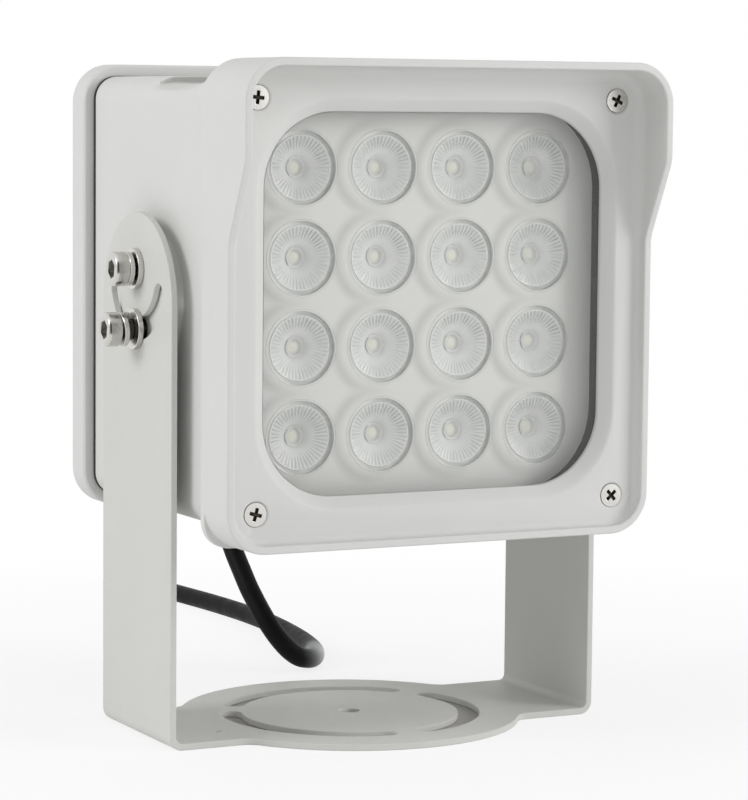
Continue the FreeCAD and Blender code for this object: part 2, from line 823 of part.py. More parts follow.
def make_main_housing():
    """Cast the housing: square tube with a web, corner posts, side bosses and a rise to its flange."""
    piece = Piece("main_housing")
    trunk = piece.front("-body_rear").rounded_rectangle(*BODY_HALF, "body_corner", CHEST)
    piece.pad(trunk, "body_rear + trough_front")
    floor = "head_height - body_tall / 2"
    sections = []
    for level, top in (
        ("trough_front", "body_tall / 2 - trough_deep"),
        ("rise_middle", "body_tall / 2 - trough_deep + rise_middle_tall"),
        (f"{BODY_FRONT} - flange_thick", "body_tall / 2 - trough_deep + rise_tall"),
    ):
        tall = f"(body_tall / 2 + {top}) / 2"
        section = piece.front(level)
        section.rounded_rectangle("body_width / 2", tall, "body_corner", f"{floor} + {tall}")
        sections.append(section)
    piece.loft(sections)
    flange = piece.front(f"{BODY_FRONT} - flange_thick")
    flange.rounded_rectangle(*[f"{half} - flange_inset" for half in BEZEL_HALF], "flange_corner", CHEST)
    piece.pad(flange, "flange_thick")
    bosses = piece.side().circle("side_boss_radius", "0", "head_height - side_boss_drop")
    piece.pad(bosses, "body_width + 2 * side_boss_proud", both=True)
    half_width = size("body_width") / 2

    def boss_foot(edge):
        return is_round(edge, size("side_boss_radius")) and close(abs(edge.Vertexes[0].X), half_width)

    piece.dress("Fillet", "side_boss_fillet", boss_foot)
    trough_floor = "head_height + body_tall / 2 - trough_deep"
    above = f"{trough_floor} + trough_deep + overrun"
    trough = piece.side()
    trough.polygon(
        [
            ("-trough_front", trough_floor),
            ("trough_rear - trough_deep", trough_floor),
            ("trough_rear", f"{trough_floor} + trough_deep"),
            ("trough_rear", above),
            ("-trough_front", above),
        ]
    )
    piece.cut(trough, "body_width + overrun", both=True)
    lamps = piece.front(BODY_FRONT).rounded_rectangle(*CAVITY_HALF, "body_corner - body_wall", CHEST)
    piece.cut(lamps, f"{BODY_FRONT} - {WEB_FRONT}")
    rear = piece.front("-body_rear").rounded_rectangle(*CAVITY_HALF, "body_corner - body_wall", CHEST)
    piece.cut(rear, f"body_rear + {WEB_REAR}", ahead=True)
    for level, long, ahead in (
        (f"{BODY_FRONT}", f"{BODY_FRONT} - rise_middle", True),
        ("-body_rear", "rear_post_long", False),
    ):
        posts = piece.front(level)
        holes = piece.front(level)
        for place in case_screw_places():
            posts.circle("post_radius", *place)
            holes.circle("case_screw / 2 + thread_gap", *place)
        piece.pad(posts, long, back=ahead)
        piece.cut(holes, "case_thread_deep", ahead=not ahead)
    web = piece.front(WEB_FRONT)
    for place in lamp_screw_places() + standoff_places():
        web.circle("small_screw / 2 + thread_gap", *place)
    web.circle("lamp_lead_hole / 2", "0", LAMP_LEAD_UP)
    piece.cut(web, "web_thick")
    thread = f"cap_screw_length - ({WASHER_FACE} + spring_thick - {ARM_INNER}) + thread_spare"
    for side in ACROSS:
        face = piece.side(f"{side} * ({ARM_INNER} - side_boss_gap)")
        for height in (PIVOT, LOCK):
            face.circle("cap_screw / 2 + thread_gap", "0", height)
        piece.cut(face, thread, ahead=side < 0)
    return piece


def make_rear_cover():
    """Cast the shallow rear cover with four screw bosses and the gland's hole."""
    piece = Piece("rear_cover")
    shell = piece.front(f"-{COVER_REAR}")
    half = ("body_width / 2 + cover_reach", "body_tall / 2 + cover_over")
    shell.rounded_rectangle(*half, "cover_corner", CHEST)
    piece.pad(shell, "cover_depth")

    def rear_edge(edge):
        return all_points(edge, lambda p: close(p.y, size(COVER_REAR)))

    def front_edge(edge):
        return all_points(edge, lambda p: close(p.y, size(COVER_FRONT)))

    piece.dress("Fillet", "cover_edge", rear_edge)
    piece.dress("Chamfer", "cover_bevel", front_edge)
    hollow = piece.front(f"-{COVER_FRONT}")
    hollow.rounded_rectangle(*CAVITY_HALF, "body_corner - body_wall", CHEST)
    piece.cut(hollow, "cover_depth - cover_wall")
    bosses = piece.front(f"-{COVER_REAR} + cover_wall / 2")
    for place in case_screw_places():
        bosses.circle("post_radius", *place)
    piece.pad(bosses, "cover_depth - cover_wall / 2")
    holes = piece.front(f"-{COVER_FRONT}")
    for place in case_screw_places():
        holes.circle("case_screw_hole / 2", *place)
    holes.circle("gland_thread / 2 + thread_gap", "0", GLAND)
    piece.cut(holes, "cover_depth")

    def screw_mouth(edge):
        return is_round(edge, size("case_screw_hole / 2")) and close(edge.Vertexes[0].Y, size(COVER_REAR))

    piece.dress("Chamfer", "(case_screw_mouth - case_screw_hole) / 2", screw_mouth)
    return piece


def make_case_screws(name, face, rear):
    """Make four countersunk screws whose heads lie flush with a face."""
    piece = Piece(name)
    shanks = piece.front(face)
    heads = piece.front(face)
    for place in case_screw_places():
        shanks.circle("case_screw / 2", *place)
        heads.circle("case_screw_head / 2", *place)
    piece.pad(shanks, "case_screw_length", back=not rear)
    cone = piece.pad(heads, "(case_screw_head - case_screw) / 2", back=not rear)
    cone.TaperAngle = -45
    return piece


def make_pan_screws(name, seat, places, back):
    """Make small pan-head screws on a seat, driven towards the front or the rear."""
    piece = Piece(name)
    heads = piece.front(seat)
    shanks = piece.front(seat)
    for place in places:
        heads.circle("small_screw_head / 2", *place)
        shanks.circle("small_screw / 2", *place)
    piece.pad(heads, "small_screw_head_tall", back=not back)
    piece.pad(shanks, "small_screw_length", back=back)
    return piece


def make_cap_screws():
    """Make the two pivot screws and the two locking screws, heads outside the arms."""
    piece = Piece("m6_cap_screws")
    for side in ACROSS:
        for height, slack in ((PIVOT, "0"), (LOCK, "lock_slack")):
            seat = f"({WASHER_FACE} + spring_thick + {slack})"
            shank = piece.side(f"{side} * {seat}").circle("cap_screw / 2", "0", height)
            piece.pad(shank, "cap_screw_length", back=side > 0)
            head = piece.side(f"{side} * {seat}").circle("cap_screw_head / 2", "0", height)
            piece.pad(head, "cap_screw", back=side < 0)
            socket = piece.side(f"{side} * ({seat} + cap_screw)")
            socket.regular_hexagon("cap_screw_socket", "0", height)
            piece.cut(socket, "cap_screw_socket_deep", ahead=side < 0)
    return piece


def make_washers(name, start, thick, outside, slit):
    """Make four washers under the screw heads, split ones with a slit."""
    piece = Piece(name)
    for side in ACROSS:
        for height in (PIVOT, LOCK):
            ring = piece.side(f"{side} * ({start})")
            ring.circle(f"{outside} / 2", "0", height)
            ring.circle("washer_inside / 2", "0", height)
            piece.pad(ring, thick, back=side < 0)
            if slit:
                gap = piece.side(f"{side} * ({start})")
                low = "spring_slit / 2"
                gap.polygon(
                    [
                        ("-spring_outside", f"{height} - {low}"),
                        ("0", f"{height} - {low}"),
                        ("0", f"{height} + {low}"),
                        ("-spring_outside", f"{height} + {low}"),
                    ]
                )
                piece.cut(gap, thick, ahead=side > 0)
    return piece


def make_driver():
    """Make the driver board, its standoffs and the parts that it carries."""
    pieces = []
    board = Piece("driver_board")
    outline = board.front(DRIVER_REAR).rounded_rectangle(*DRIVER_HALF, "standoff_radius", CHEST)
    for place in standoff_places():
        outline.circle("small_screw_hole / 2", *place)
    for place in lead_places(LAMP_LEAD_UP):
        outline.circle("lead_radius + lead_gap", *place)
    board.pad(outline, "driver_thick")
    pieces.append(board)
    standoffs = Piece("board_standoffs")
    columns = standoffs.front(DRIVER_FRONT)
    studs = standoffs.front(WEB_REAR)
    bores = standoffs.front(DRIVER_FRONT)
    for place in standoff_places():
        columns.circle("standoff_radius", *place)
        studs.circle("small_screw / 2", *place)
        bores.circle("small_screw / 2 + thread_gap", *place)
    standoffs.pad(columns, "standoff_long")
    standoffs.pad(studs, "web_thick - moulded_corner")
    standoffs.cut(bores, "standoff_long / 2", ahead=True)
    pieces.append(standoffs)
    for index, x in enumerate(ACROSS, start=1):
        can = Piece(f"driver_capacitor_{index}")
        circle = can.front(DRIVER_REAR)
        circle.circle("capacitor_radius", f"{x} * capacitor_side", "head_height + capacitor_rise")
        can.pad(circle, "capacitor_long", back=True)
        pieces.append(can)
    coil = Piece("driver_transformer")
    core = coil.front(DRIVER_REAR)
    core.rounded_rectangle("coil_side / 2", "coil_side / 2", "coil_corner", "head_height - coil_drop")
    coil.pad(core, "coil_tall", back=True)
    pieces.append(coil)
    chip = Piece("driver_chip")
    case = chip.front(DRIVER_REAR)
    chip_up = f"head_height + {DRIVER_HALF[1]} - chip_end_inset"
    case.rounded_rectangle("chip_side / 2", "chip_side / 2", "moulded_corner", chip_up)
    chip.pad(case, "chip_tall", back=True)
    pieces.append(chip)
    terminal = Piece("terminal_block")
    shell = terminal.front(DRIVER_REAR)
    shell.rounded_rectangle("terminal_width / 2", "terminal_tall / 2", "moulded_corner", GLAND)
    terminal.pad(shell, "terminal_deep", back=True)
    pieces.append(terminal)
    pieces.append(make_pan_screws("driver_board_screws", DRIVER_REAR, standoff_places(), back=False))
    return pieces


def make_lead(name, start, length, place, back):
    """Make one straight insulated wire."""
    piece = Piece(name)
    piece.pad(piece.front(start).circle("lead_radius", *place), length, back=back)
    return piece


def make_leads():
    """Make the supply wires to the terminal and the wires on to the lamp board."""
    terminal_face = f"({DRIVER_REAR} - terminal_deep)"
    reach = f"({terminal_face} + {COVER_FRONT} - cable_inside + cover_depth)"
    to_lamps = f"{LAMP_BOARD_FRONT} - {DRIVER_REAR}"
    pieces = []
    for number, place in enumerate(lead_places(GLAND), start=1):
        pieces.append(make_lead(f"supply_lead_{number}", terminal_face, reach, place, back=True))
    for number, place in enumerate(lead_places(LAMP_LEAD_UP), start=1):
        pieces.append(make_lead(f"lamp_lead_{number}", DRIVER_REAR, to_lamps, place, back=False))
    return pieces


def make_gland():
    """Make the cable gland: body through the cover, lock nut, seal and cap."""
    inside_end = f"({COVER_REAR} - gland_stub_long)"
    neck_end = f"({COVER_REAR} + gland_hex_long + gland_neck_long)"
    bore = "(cable / 2 + cable_gap)"
    seat = f"({neck_end} - gland_seal_long)"
    body = Piece("cable_gland")
    grip = body.front(f"-{COVER_REAR}").regular_hexagon("gland_hex", "0", GLAND)
    body.pad(grip, "gland_hex_long", back=True)
    stub = body.front(f"-{COVER_REAR}").circle("gland_thread / 2", "0", GLAND)
    body.pad(stub, "gland_stub_long")
    neck = body.front(f"-{COVER_REAR}").circle("gland_upper_thread / 2", "0", GLAND)
    body.pad(neck, "gland_hex_long + gland_neck_long", back=True)
    through = body.front(f"-{inside_end}").circle(bore, "0", GLAND)
    body.cut(through, f"{neck_end} - {inside_end}")
    chamber = body.front(f"-{neck_end}").circle("gland_seat / 2", "0", GLAND)
    body.cut(chamber, "gland_seal_long", ahead=True)
    nut = Piece("gland_lock_nut")
    ring = nut.front(f"-{COVER_REAR} + cover_wall")
    ring.regular_hexagon("gland_hex", "0", GLAND)
    ring.circle("gland_thread / 2 + thread_gap", "0", GLAND)
    nut.pad(ring, "gland_nut_thick")
    seal = Piece("gland_seal")
    bush = seal.front(f"-{neck_end}")
    bush.circle("gland_seat / 2 - thread_gap", "0", GLAND)
    bush.circle("cable / 2 + thread_gap", "0", GLAND)
    seal.pad(bush, "gland_seal_long")
    cap = Piece("gland_cap")
    dome = cap.front(f"-{CAP_END}").circle("gland_cap_outside / 2", "0", GLAND)
    cap.pad(dome, "gland_cap_long")

    def outer_end(edge):
        return all_points(edge, lambda p: close(p.y, size(CAP_END)))

    cap.dress("Fillet", "gland_cap_round", outer_end)
    mouth = cap.front(f"-{CAP_END}").circle(bore, "0", GLAND)
    cap.cut(mouth, "gland_cap_long", ahead=True)
    thread = cap.front(f"-{CAP_END} + gland_cap_long")
    thread.circle("gland_upper_thread / 2 + thread_gap", "0", GLAND)
    cap.cut(thread, "gland_cap_long - gland_cap_end")
    return [body, nut, seal, cap]


def make_cable_inlet():
    """Make the straight stretch of cable that the gland holds."""
    piece = Piece("cable_inlet")
    start = f"({COVER_REAR} - cable_inside)"
    circle = piece.front(f"-{start}").circle(CABLE_RADIUS, "0", GLAND)
    piece.pad(circle, f"{CAP_END} - {start}", back=True)
    return piece


def gland_points():
    """Return the two points that lead the cable straight out of the gland's cap."""
    end, up = size(CAP_END), size(GLAND)
    return [(0.0, end, up), (0.0, end + GLAND_RUN, up)]


def cable_path(points):
    """Join straight runs by tangent arcs, each as large as its two runs allow."""
    corners = [Vector(*point) for point in points]
    edges = []
    last = corners[0]
    length = 0.0
    for before, here, after in zip(corners, corners[1:], corners[2:]):
        inward = here - before
        onward = after - here
        turn = inward.getAngle(onward)
        tangent = RUN_SHARE * min(inward.Length, onward.Length)
        radius = tangent / math.tan(turn / 2)
        start = here - inward.normalize() * tangent
        end = here + onward.normalize() * tangent
        middle_way = (onward - inward).normalize()
        middle = here + middle_way * (radius / math.cos(turn / 2) - radius)
        edges.append(Part.LineSegment(last, start).toShape())
        edges.append(Part.Arc(start, middle, end).toShape())
        length += (start - last).Length + radius * turn
        print(f"cable bend radius {radius:.1f} mm, turn {math.degrees(turn):.0f} degrees")
        last = end
    edges.append(Part.LineSegment(last, corners[-1]).toShape())
    length += (corners[-1] - last).Length
    return Part.Wire(edges), length


def make_cable(name, points):
    """Sweep the cable's round section along its path."""
    wire, length = cable_path(points)
    radius = size(CABLE_RADIUS)
    start = Vector(*points[0])
    heading = Vector(*points[1]) - start
    section = Part.Wire([Part.Circle(start, heading, radius).toShape()])
    tube = wire.makePipeShell([section], True, False)
    cable = document.addObject("Part::Feature", name)
    cable.Label = name
    cable.Shape = tube
    cable.Placement = FreeCAD.Placement()
    drawn = math.pi * radius**2 * length
    print(f"{name}: {length:.1f} mm long, volume {tube.Volume:.1f}, section times length {drawn:.1f}")
    return cable


def build():
    """Make every sub-part and return the objects to be written."""
    pieces = [
        make_mounting_bracket(),
        make_front_bezel(),
        make_front_glass(),
        make_glass_seal(),
        make_bezel_gasket(),
        make_lens_plate(),
        make_lamp_board(),
        make_thermal_pad(),
        make_main_housing(),
        make_rear_gasket(),
        make_rear_cover(),
        make_case_screws("bezel_screws", CASE_FACE, rear=False),
        make_case_screws("rear_cover_screws", f"-{COVER_REAR}", rear=True),
        make_pan_screws("lamp_board_screws", LAMP_BOARD_FRONT, lamp_screw_places(), back=True),
        make_cap_screws(),
        make_washers("m6_flat_washers", f"{ARM_OUTER} + washer_gap", "washer_thick", "washer_outside", False),
        make_washers("m6_spring_washers", WASHER_FACE, "spring_thick", "spring_outside", True),
        make_cable_inlet(),
    ]
    pieces += [make_lamps()] + make_driver() + make_leads() + make_gland()
    for number, place in enumerate(lens_places(), start=1):
        pieces.append(make_lens(f"lens_{number}", place))
    parts = [piece.body for piece in pieces]
    parts.append(make_cable("cable_drop", gland_points() + CABLE_DROP))
    parts.append(make_cable("cable_floor_run", CABLE_FLOOR))
    return parts


parts = build()
document.recompute()
for item in document.Objects:
    if "Invalid" in item.State or "Error" in item.State:
        raise RuntimeError(f"{item.Label} failed: {item.State}")
for part in parts:
    if part.Shape.isNull() or not part.Shape.isValid():
        raise RuntimeError(f"{part.Label} has no valid shape")
os.makedirs("parts", exist_ok=True)
for part in parts:
    part.Shape.exportStep(f"parts/{part.Label}.step")
    box = part.Shape.BoundBox
    print(
        f"{part.Label}: {len(part.Shape.Solids)} solids, {part.Shape.Volume:.1f} mm3,"
        f" x {box.XMin:.2f} {box.XMax:.2f}, y {box.YMin:.2f} {box.YMax:.2f}, z {box.ZMin:.2f} {box.ZMax:.2f}"
    )
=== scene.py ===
"""Looks of a square LED camera illuminator on its folded U bracket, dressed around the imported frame.

Lengths are in metres, the lit face looks towards -Y and +Z is up.
"""

import logging
import math
from dataclasses import dataclass, field
from enum import Enum, IntEnum
from typing import Iterable

import bmesh
import bpy
import numpy as np
from mathutils import Matrix, Vector


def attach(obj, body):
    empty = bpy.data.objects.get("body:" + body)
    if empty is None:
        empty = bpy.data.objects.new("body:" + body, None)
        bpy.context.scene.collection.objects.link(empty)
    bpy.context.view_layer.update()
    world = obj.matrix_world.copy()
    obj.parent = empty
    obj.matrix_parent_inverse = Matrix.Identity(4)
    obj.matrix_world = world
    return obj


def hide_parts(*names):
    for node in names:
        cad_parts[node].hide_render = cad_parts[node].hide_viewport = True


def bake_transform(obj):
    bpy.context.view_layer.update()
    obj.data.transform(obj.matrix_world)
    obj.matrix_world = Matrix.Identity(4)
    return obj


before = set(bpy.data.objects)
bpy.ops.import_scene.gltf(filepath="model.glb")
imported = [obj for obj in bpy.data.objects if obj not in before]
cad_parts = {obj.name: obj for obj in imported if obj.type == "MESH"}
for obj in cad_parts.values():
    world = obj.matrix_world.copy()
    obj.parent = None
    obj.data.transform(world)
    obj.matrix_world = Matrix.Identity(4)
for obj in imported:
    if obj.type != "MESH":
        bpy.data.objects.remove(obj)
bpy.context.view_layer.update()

Socket = bpy.types.NodeSocket
Material = bpy.types.Material
Piece = bpy.types.Object

log = logging.getLogger("illuminator")
MM = 0.001
HEAD_UP = 129.45 * MM
FACE_AT = -56.5 * MM
PLATE_AT = -44.6 * MM
PLATE_COLOUR = (0.735, 0.735, 0.708)
RED = (0.45, 0.02, 0.02)
BLACK = (0.02, 0.02, 0.02)
RUBBER = (0.018, 0.018, 0.018)
NYLON = (0.022, 0.022, 0.023)


class Body(Enum):
    """The two parts that the tilt pivot joins."""

    BRACKET = "bracket"
    HEAD = "head"


class Axis(Enum):
    """The axis that a profile is turned about."""

    X = "x"
    Y = "y"


class LensPart(IntEnum):
    """The materials of a lens, in the order of its slots."""

    BOWL = 0
    LAMP = 1
    FACE = 2
    GROOVE = 3
    COLLAR = 4


class Nodes:
    """A node tree while it is put together."""

    def __init__(self, tree: bpy.types.NodeTree) -> None:
        """Take the tree that is filled."""
        self.tree = tree

    def add(self, kind: str, **settings: object) -> bpy.types.Node:
        """Add a node.

        Args:
            kind: The node's type name.
            settings: Its properties.

        Returns:
            The new node.
        """
        made = self.tree.nodes.new(kind)
        for key, value in settings.items():
            setattr(made, key, value)
        return made

    def feed(self, socket: Socket, source: object) -> None:
        """Link a socket to another one, or set it to a plain value."""
        if isinstance(source, Socket):
            self.tree.links.new(source, socket)
        else:
            socket.default_value = source

    def span(self, value: object, start: float, end: float, low: float, high: float) -> Socket:
        """Map a value from one range to another.

        Args:
            value: The socket to map.
            start: The value that gives low.
            end: The value that gives high.
            low: The result at start and before it.
            high: The result at end and after it.

        Returns:
            The mapped socket.
        """
        made = self.add("ShaderNodeMapRange")
        names = ("Value", "From Min", "From Max", "To Min", "To Max")
        for name, source in zip(names, (value, start, end, low, high)):
            self.feed(made.inputs[name], source)
        return made.outputs["Result"]

    def math(self, operation: str, first: object, second: object = 0.0, clamp: bool = False) -> Socket:
        """Return the result of one sum of two values, kept between 0 and 1 if asked."""
        made = self.add("ShaderNodeMath", operation=operation, use_clamp=clamp)
        self.feed(made.inputs[0], first)
        self.feed(made.inputs[1], second)
        return made.outputs[0]

    def length(self, vector: Socket) -> Socket:
        """Return the length of a vector."""
        made = self.add("ShaderNodeVectorMath", operation="LENGTH")
        self.feed(made.inputs[0], vector)
        return made.outputs["Value"]

    def layered(self, share: Socket, first: Socket, second: Socket) -> Socket:
        """Mix two shaders by a share."""
        made = self.add("ShaderNodeMixShader")
        for number, source in enumerate((share, first, second)):
            self.feed(made.inputs[number], source)
        return made.outputs[0]

    def background_share(self) -> Socket:
        """Return 1 for the rays that show the background itself, in the view or in gloss and glass."""
        path = self.add("ShaderNodeLightPath")
        total = path.outputs["Is Camera Ray"]
        for other in ("Is Glossy Ray", "Is Transmission Ray"):
            total = self.math("ADD", total, path.outputs[other], clamp=True)
        return total


class Recipe(Nodes):
    """One material's node tree, which ends in a Principled shader."""

    def __init__(self, name: str) -> None:
        """Start a material.

        Args:
            name: The material's name.
        """
        self.material = bpy.data.materials.new(name)
        self.material.use_nodes = True
        super().__init__(self.material.node_tree)
        self.shader = next(node for node in self.tree.nodes if node.type == "BSDF_PRINCIPLED")
        self.output = next(node for node in self.tree.nodes if node.type == "OUTPUT_MATERIAL")
        self.place = self.add("ShaderNodeTexCoord").outputs["Object"]

    def set(self, **sockets: object) -> None:
        """Feed the shader's sockets, named with underscores for spaces."""
        for name, source in sockets.items():
            self.feed(self.shader.inputs[name.replace("_", " ")], source)

    def stretched(self, scale: tuple, place: Socket) -> Socket:
        """Return coordinates scaled along each axis."""
        made = self.add("ShaderNodeMapping")
        self.feed(made.inputs["Vector"], place)
        self.feed(made.inputs["Scale"], scale)
        return made.outputs["Vector"]

    def noise(self, grain: float, detail: float = 3.0, place: Socket | None = None) -> Socket:
        """Return a noise between 0 and 1.

        Args:
            grain: The size of its spots.
            detail: How many finer layers it has.
            place: The coordinates that it reads, by default the object's.

        Returns:
            The noise's socket.
        """
        made = self.add("ShaderNodeTexNoise")
        self.feed(made.inputs["Vector"], self.place if place is None else place)
        self.feed(made.inputs["Scale"], 1.0 / grain)
        self.feed(made.inputs["Detail"], detail)
        return made.outputs["Fac"]

    def varied(self, source: Socket, low: float, high: float) -> Socket:
        """Spread a noise's usual range, 0.3 to 0.7, from a low value to a high one."""
        return self.span(source, 0.3, 0.7, low, high)

    def blend(self, share: object, first: object, second: object) -> Socket:
        """Mix two colours, each a socket or a plain colour, by a share."""
        made = self.add("ShaderNodeMix", data_type="RGBA")
        self.feed(made.inputs[0], share)
        for number, colour in ((6, first), (7, second)):
            self.feed(made.inputs[number], (*colour, 1.0) if isinstance(colour, tuple) else colour)
        return made.outputs[2]

    def mottled(self, cloud: Socket, colour: tuple, darker: float, lighter: float) -> Socket:
        """Return a colour that a noise makes a little darker in places and lighter in others."""
        return self.blend(cloud, shade(colour, 1 - darker), shade(colour, 1 + lighter))

    def tone(self) -> Socket:
        """Return the share, from 0 to 1, that the piece's points carry."""
        return self.add("ShaderNodeAttribute", attribute_name="tone").outputs["Fac"]

    def bump(self, height: Socket, depth: float, before: Socket | None = None) -> Socket:
        """Return a normal roughened by a height.

        Args:
            height: The height's socket, from 0 to 1.
            depth: How deep its full range is.
            before: The normal of a coarser bump that it adds to.

        Returns:
            The normal's socket.
        """
        made = self.add("ShaderNodeBump")
        self.feed(made.inputs["Distance"], depth)
        self.feed(made.inputs["Height"], height)
        if before is not None:
            self.feed(made.inputs["Normal"], before)
        return made.outputs["Normal"]


def shade(colour: tuple, factor: float) -> tuple:
    """Return a colour made lighter or darker."""
    return tuple(min(1.0, part * factor) for part in colour)


@dataclass(frozen=True)
class PowderCoat:
    """Baked powder paint: faint mottling and specks, a fine orange peel and a satin gloss."""

    name: str
    colour: tuple = (0.715, 0.715, 0.70)
    mottle: float = 0.025
    cloud_size: float = 30 * MM
    speck_size: float = 0.5 * MM
    speck_start: tuple = (0.62, 0.75)
    speck_share: float = 0.05
    speck_shade: float = 0.55
    peel_size: float = 1.1 * MM
    peel_depth: float = 0.028 * MM
    fine_size: float = 0.35 * MM
    fine_share: float = 0.25
    wear_size: float = 6 * MM
    roughness: tuple = (0.45, 0.56)
    gloss: float = 0.18

    def material(self) -> Material:
        """Return the paint's material."""
        recipe = Recipe(self.name)
        cloud = recipe.noise(self.cloud_size, detail=2.0)
        mixed = recipe.mottled(cloud, self.colour, self.mottle, self.mottle)
        speck = recipe.noise(self.speck_size, detail=1.0)
        specks = recipe.span(speck, *self.speck_start, 0.0, self.speck_share)
        colour = recipe.blend(specks, mixed, shade(self.colour, self.speck_shade))
        peel = recipe.bump(recipe.noise(self.peel_size, detail=2.0), self.peel_depth)
        fine_depth = self.peel_depth * self.fine_share
        fine = recipe.bump(recipe.noise(self.fine_size, detail=1.0), fine_depth, before=peel)
        rough = recipe.varied(recipe.noise(self.wear_size), *self.roughness)
        recipe.set(Base_Color=colour, Roughness=rough, Normal=fine, Specular_IOR_Level=self.gloss)
        return recipe.material


@dataclass(frozen=True)
class Moulded:
    """Moulded plastic, rubber or a plain coated part, with a soft surface."""

    name: str
    colour: tuple
    roughness: float = 0.5
    grain: float = 1.5 * MM
    depth: float = 0.01 * MM
    variation: float = 0.06
    cloud_size: float = 12 * MM
    wear_size: float = 4 * MM
    wear: float = 0.06

    def material(self) -> Material:
        """Return the plastic's material."""
        recipe = Recipe(self.name)
        cloud, worn = recipe.noise(self.cloud_size), recipe.noise(self.wear_size)
        recipe.set(Base_Color=recipe.mottled(cloud, self.colour, self.variation, self.variation))
        recipe.set(Roughness=recipe.varied(worn, self.roughness - self.wear, self.roughness + self.wear))
        recipe.set(Normal=recipe.bump(recipe.noise(self.grain, detail=2.0), self.depth))
        return recipe.material


@dataclass(frozen=True)
class Metal:
    """Bare metal with fine turning marks across one axis, sunk in shade where the tone says so."""

    name: str
    colour: tuple
    roughness: float = 0.24
    # Colour of the painted shade that the tone blends towards, in recesses and between parts.
    sunk: tuple = (0.05, 0.042, 0.034)
    marks: tuple = (12.0, 1.0, 1.0)
    mark_size: float = 1.6 * MM
    mark_depth: float = 0.0015 * MM
    cloud_size: float = 3 * MM
    tarnish: tuple = (0.06, 0.04)
    wear: tuple = (0.04, 0.05)

    def material(self) -> Material:
        """Return the metal's material."""
        recipe = Recipe(self.name)
        lines = recipe.noise(self.mark_size, detail=2.0, place=recipe.stretched(self.marks, recipe.place))
        smoother, rougher = self.wear
        bare = recipe.mottled(recipe.noise(self.cloud_size), self.colour, *self.tarnish)
        # The tone paints shade: it blends the bare colour into the sunk colour.
        recipe.set(Base_Color=recipe.blend(recipe.tone(), bare, self.sunk), Metallic=1.0)
        recipe.set(Roughness=recipe.varied(lines, self.roughness - smoother, self.roughness + rougher))
        recipe.set(Normal=recipe.bump(lines, self.mark_depth))
        return recipe.material


@dataclass(frozen=True)
class Clear:
    """Clear glass or acrylic, drawn as a thin glossy film that lets most light straight through."""

    name: str
    tint: tuple = (0.86, 0.90, 0.87)
    cover: float = 0.07
    roughness: float = 0.03
    wear: float = 0.02
    film_size: float = 25 * MM

    def material(self) -> Material:
        """Return the clear material."""
        recipe = Recipe(self.name)
        film = recipe.noise(self.film_size, detail=2.0)
        recipe.set(Base_Color=recipe.mottled(film, self.tint, darker=0.03, lighter=0.0))
        recipe.set(Alpha=self.cover, IOR=1.5)
        recipe.set(Roughness=recipe.varied(film, self.roughness, self.roughness + self.wear))
        return recipe.material


@dataclass(frozen=True)
class PlateWhite:
    """Glossy white plate, with painted shade in a soft crescent at the left of each lens."""

    name: str
    # Colour of the painted shade round each lens.
    shade_colour: tuple = (0.28, 0.28, 0.26)
    ring_radius: float = 12.6 * MM
    ring_width: float = 2.6 * MM
    ring_shift: float = -2.1 * MM
    ring_share: float = 0.38
    ring_fade: tuple = (-9 * MM, 6 * MM)
    ripple_size: float = 2.5 * MM
    ripple_depth: float = 0.006 * MM
    roughness: float = 0.34

    def material(self, centres: list[Vector]) -> Material:
        """Return the plate's material.

        Args:
            centres: The middle of each lens.

        Returns:
            The material.
        """
        recipe = Recipe(self.name)
        share = 0.0
        for centre in centres:
            offset = recipe.add("ShaderNodeVectorMath", operation="SUBTRACT")
            recipe.feed(offset.inputs[0], recipe.place)
            recipe.feed(offset.inputs[1], (centre[0] + self.ring_shift, centre[1], centre[2]))
            away = recipe.length(offset.outputs[0])
            parts = recipe.add("ShaderNodeSeparateXYZ")
            recipe.feed(parts.inputs[0], offset.outputs[0])
            # Painted shade: a soft ring round a point left of each lens, kept only on the ring's left side.
            off = recipe.math("ABSOLUTE", recipe.math("SUBTRACT", away, self.ring_radius))
            ring = recipe.span(off, 0.0, self.ring_width, self.ring_share, 0.0)
            left = recipe.span(parts.outputs[0], *self.ring_fade, 1.0, 0.0)
            share = recipe.math("MAXIMUM", share, recipe.math("MULTIPLY", ring, left))
        recipe.set(Base_Color=recipe.blend(share, PLATE_COLOUR, self.shade_colour), Roughness=self.roughness)
        recipe.set(Normal=recipe.bump(recipe.noise(self.ripple_size, detail=2.0), self.ripple_depth))
        return recipe.material


@dataclass(frozen=True)
class Flutes:
    """Clear fluted plastic, drawn as pale stripes with painted shade down each flute's side."""

    name: str
    pale: tuple = (0.86, 0.86, 0.845)
    # Colour of the painted shade that the tone blends towards.
    shade_colour: tuple = (0.34, 0.36, 0.35)
    uneven_size: float = 3 * MM
    uneven: tuple = (0.55, 1.0)
    wear_size: float = 2 * MM
    roughness: tuple = (0.12, 0.22)

    def material(self) -> Material:
        """Return the flutes' material."""
        recipe = Recipe(self.name)
        uneven = recipe.varied(recipe.noise(self.uneven_size), *self.uneven)
        # The tone paints shade; where it is least, the flute shows as a painted highlight.
        colour = recipe.blend(recipe.math("MULTIPLY", recipe.tone(), uneven), self.pale, self.shade_colour)
        rough = recipe.varied(recipe.noise(self.wear_size), *self.roughness)
        recipe.set(Base_Color=colour, Roughness=rough, Coat_Weight=1.0, Coat_Roughness=0.05)
        return recipe.material


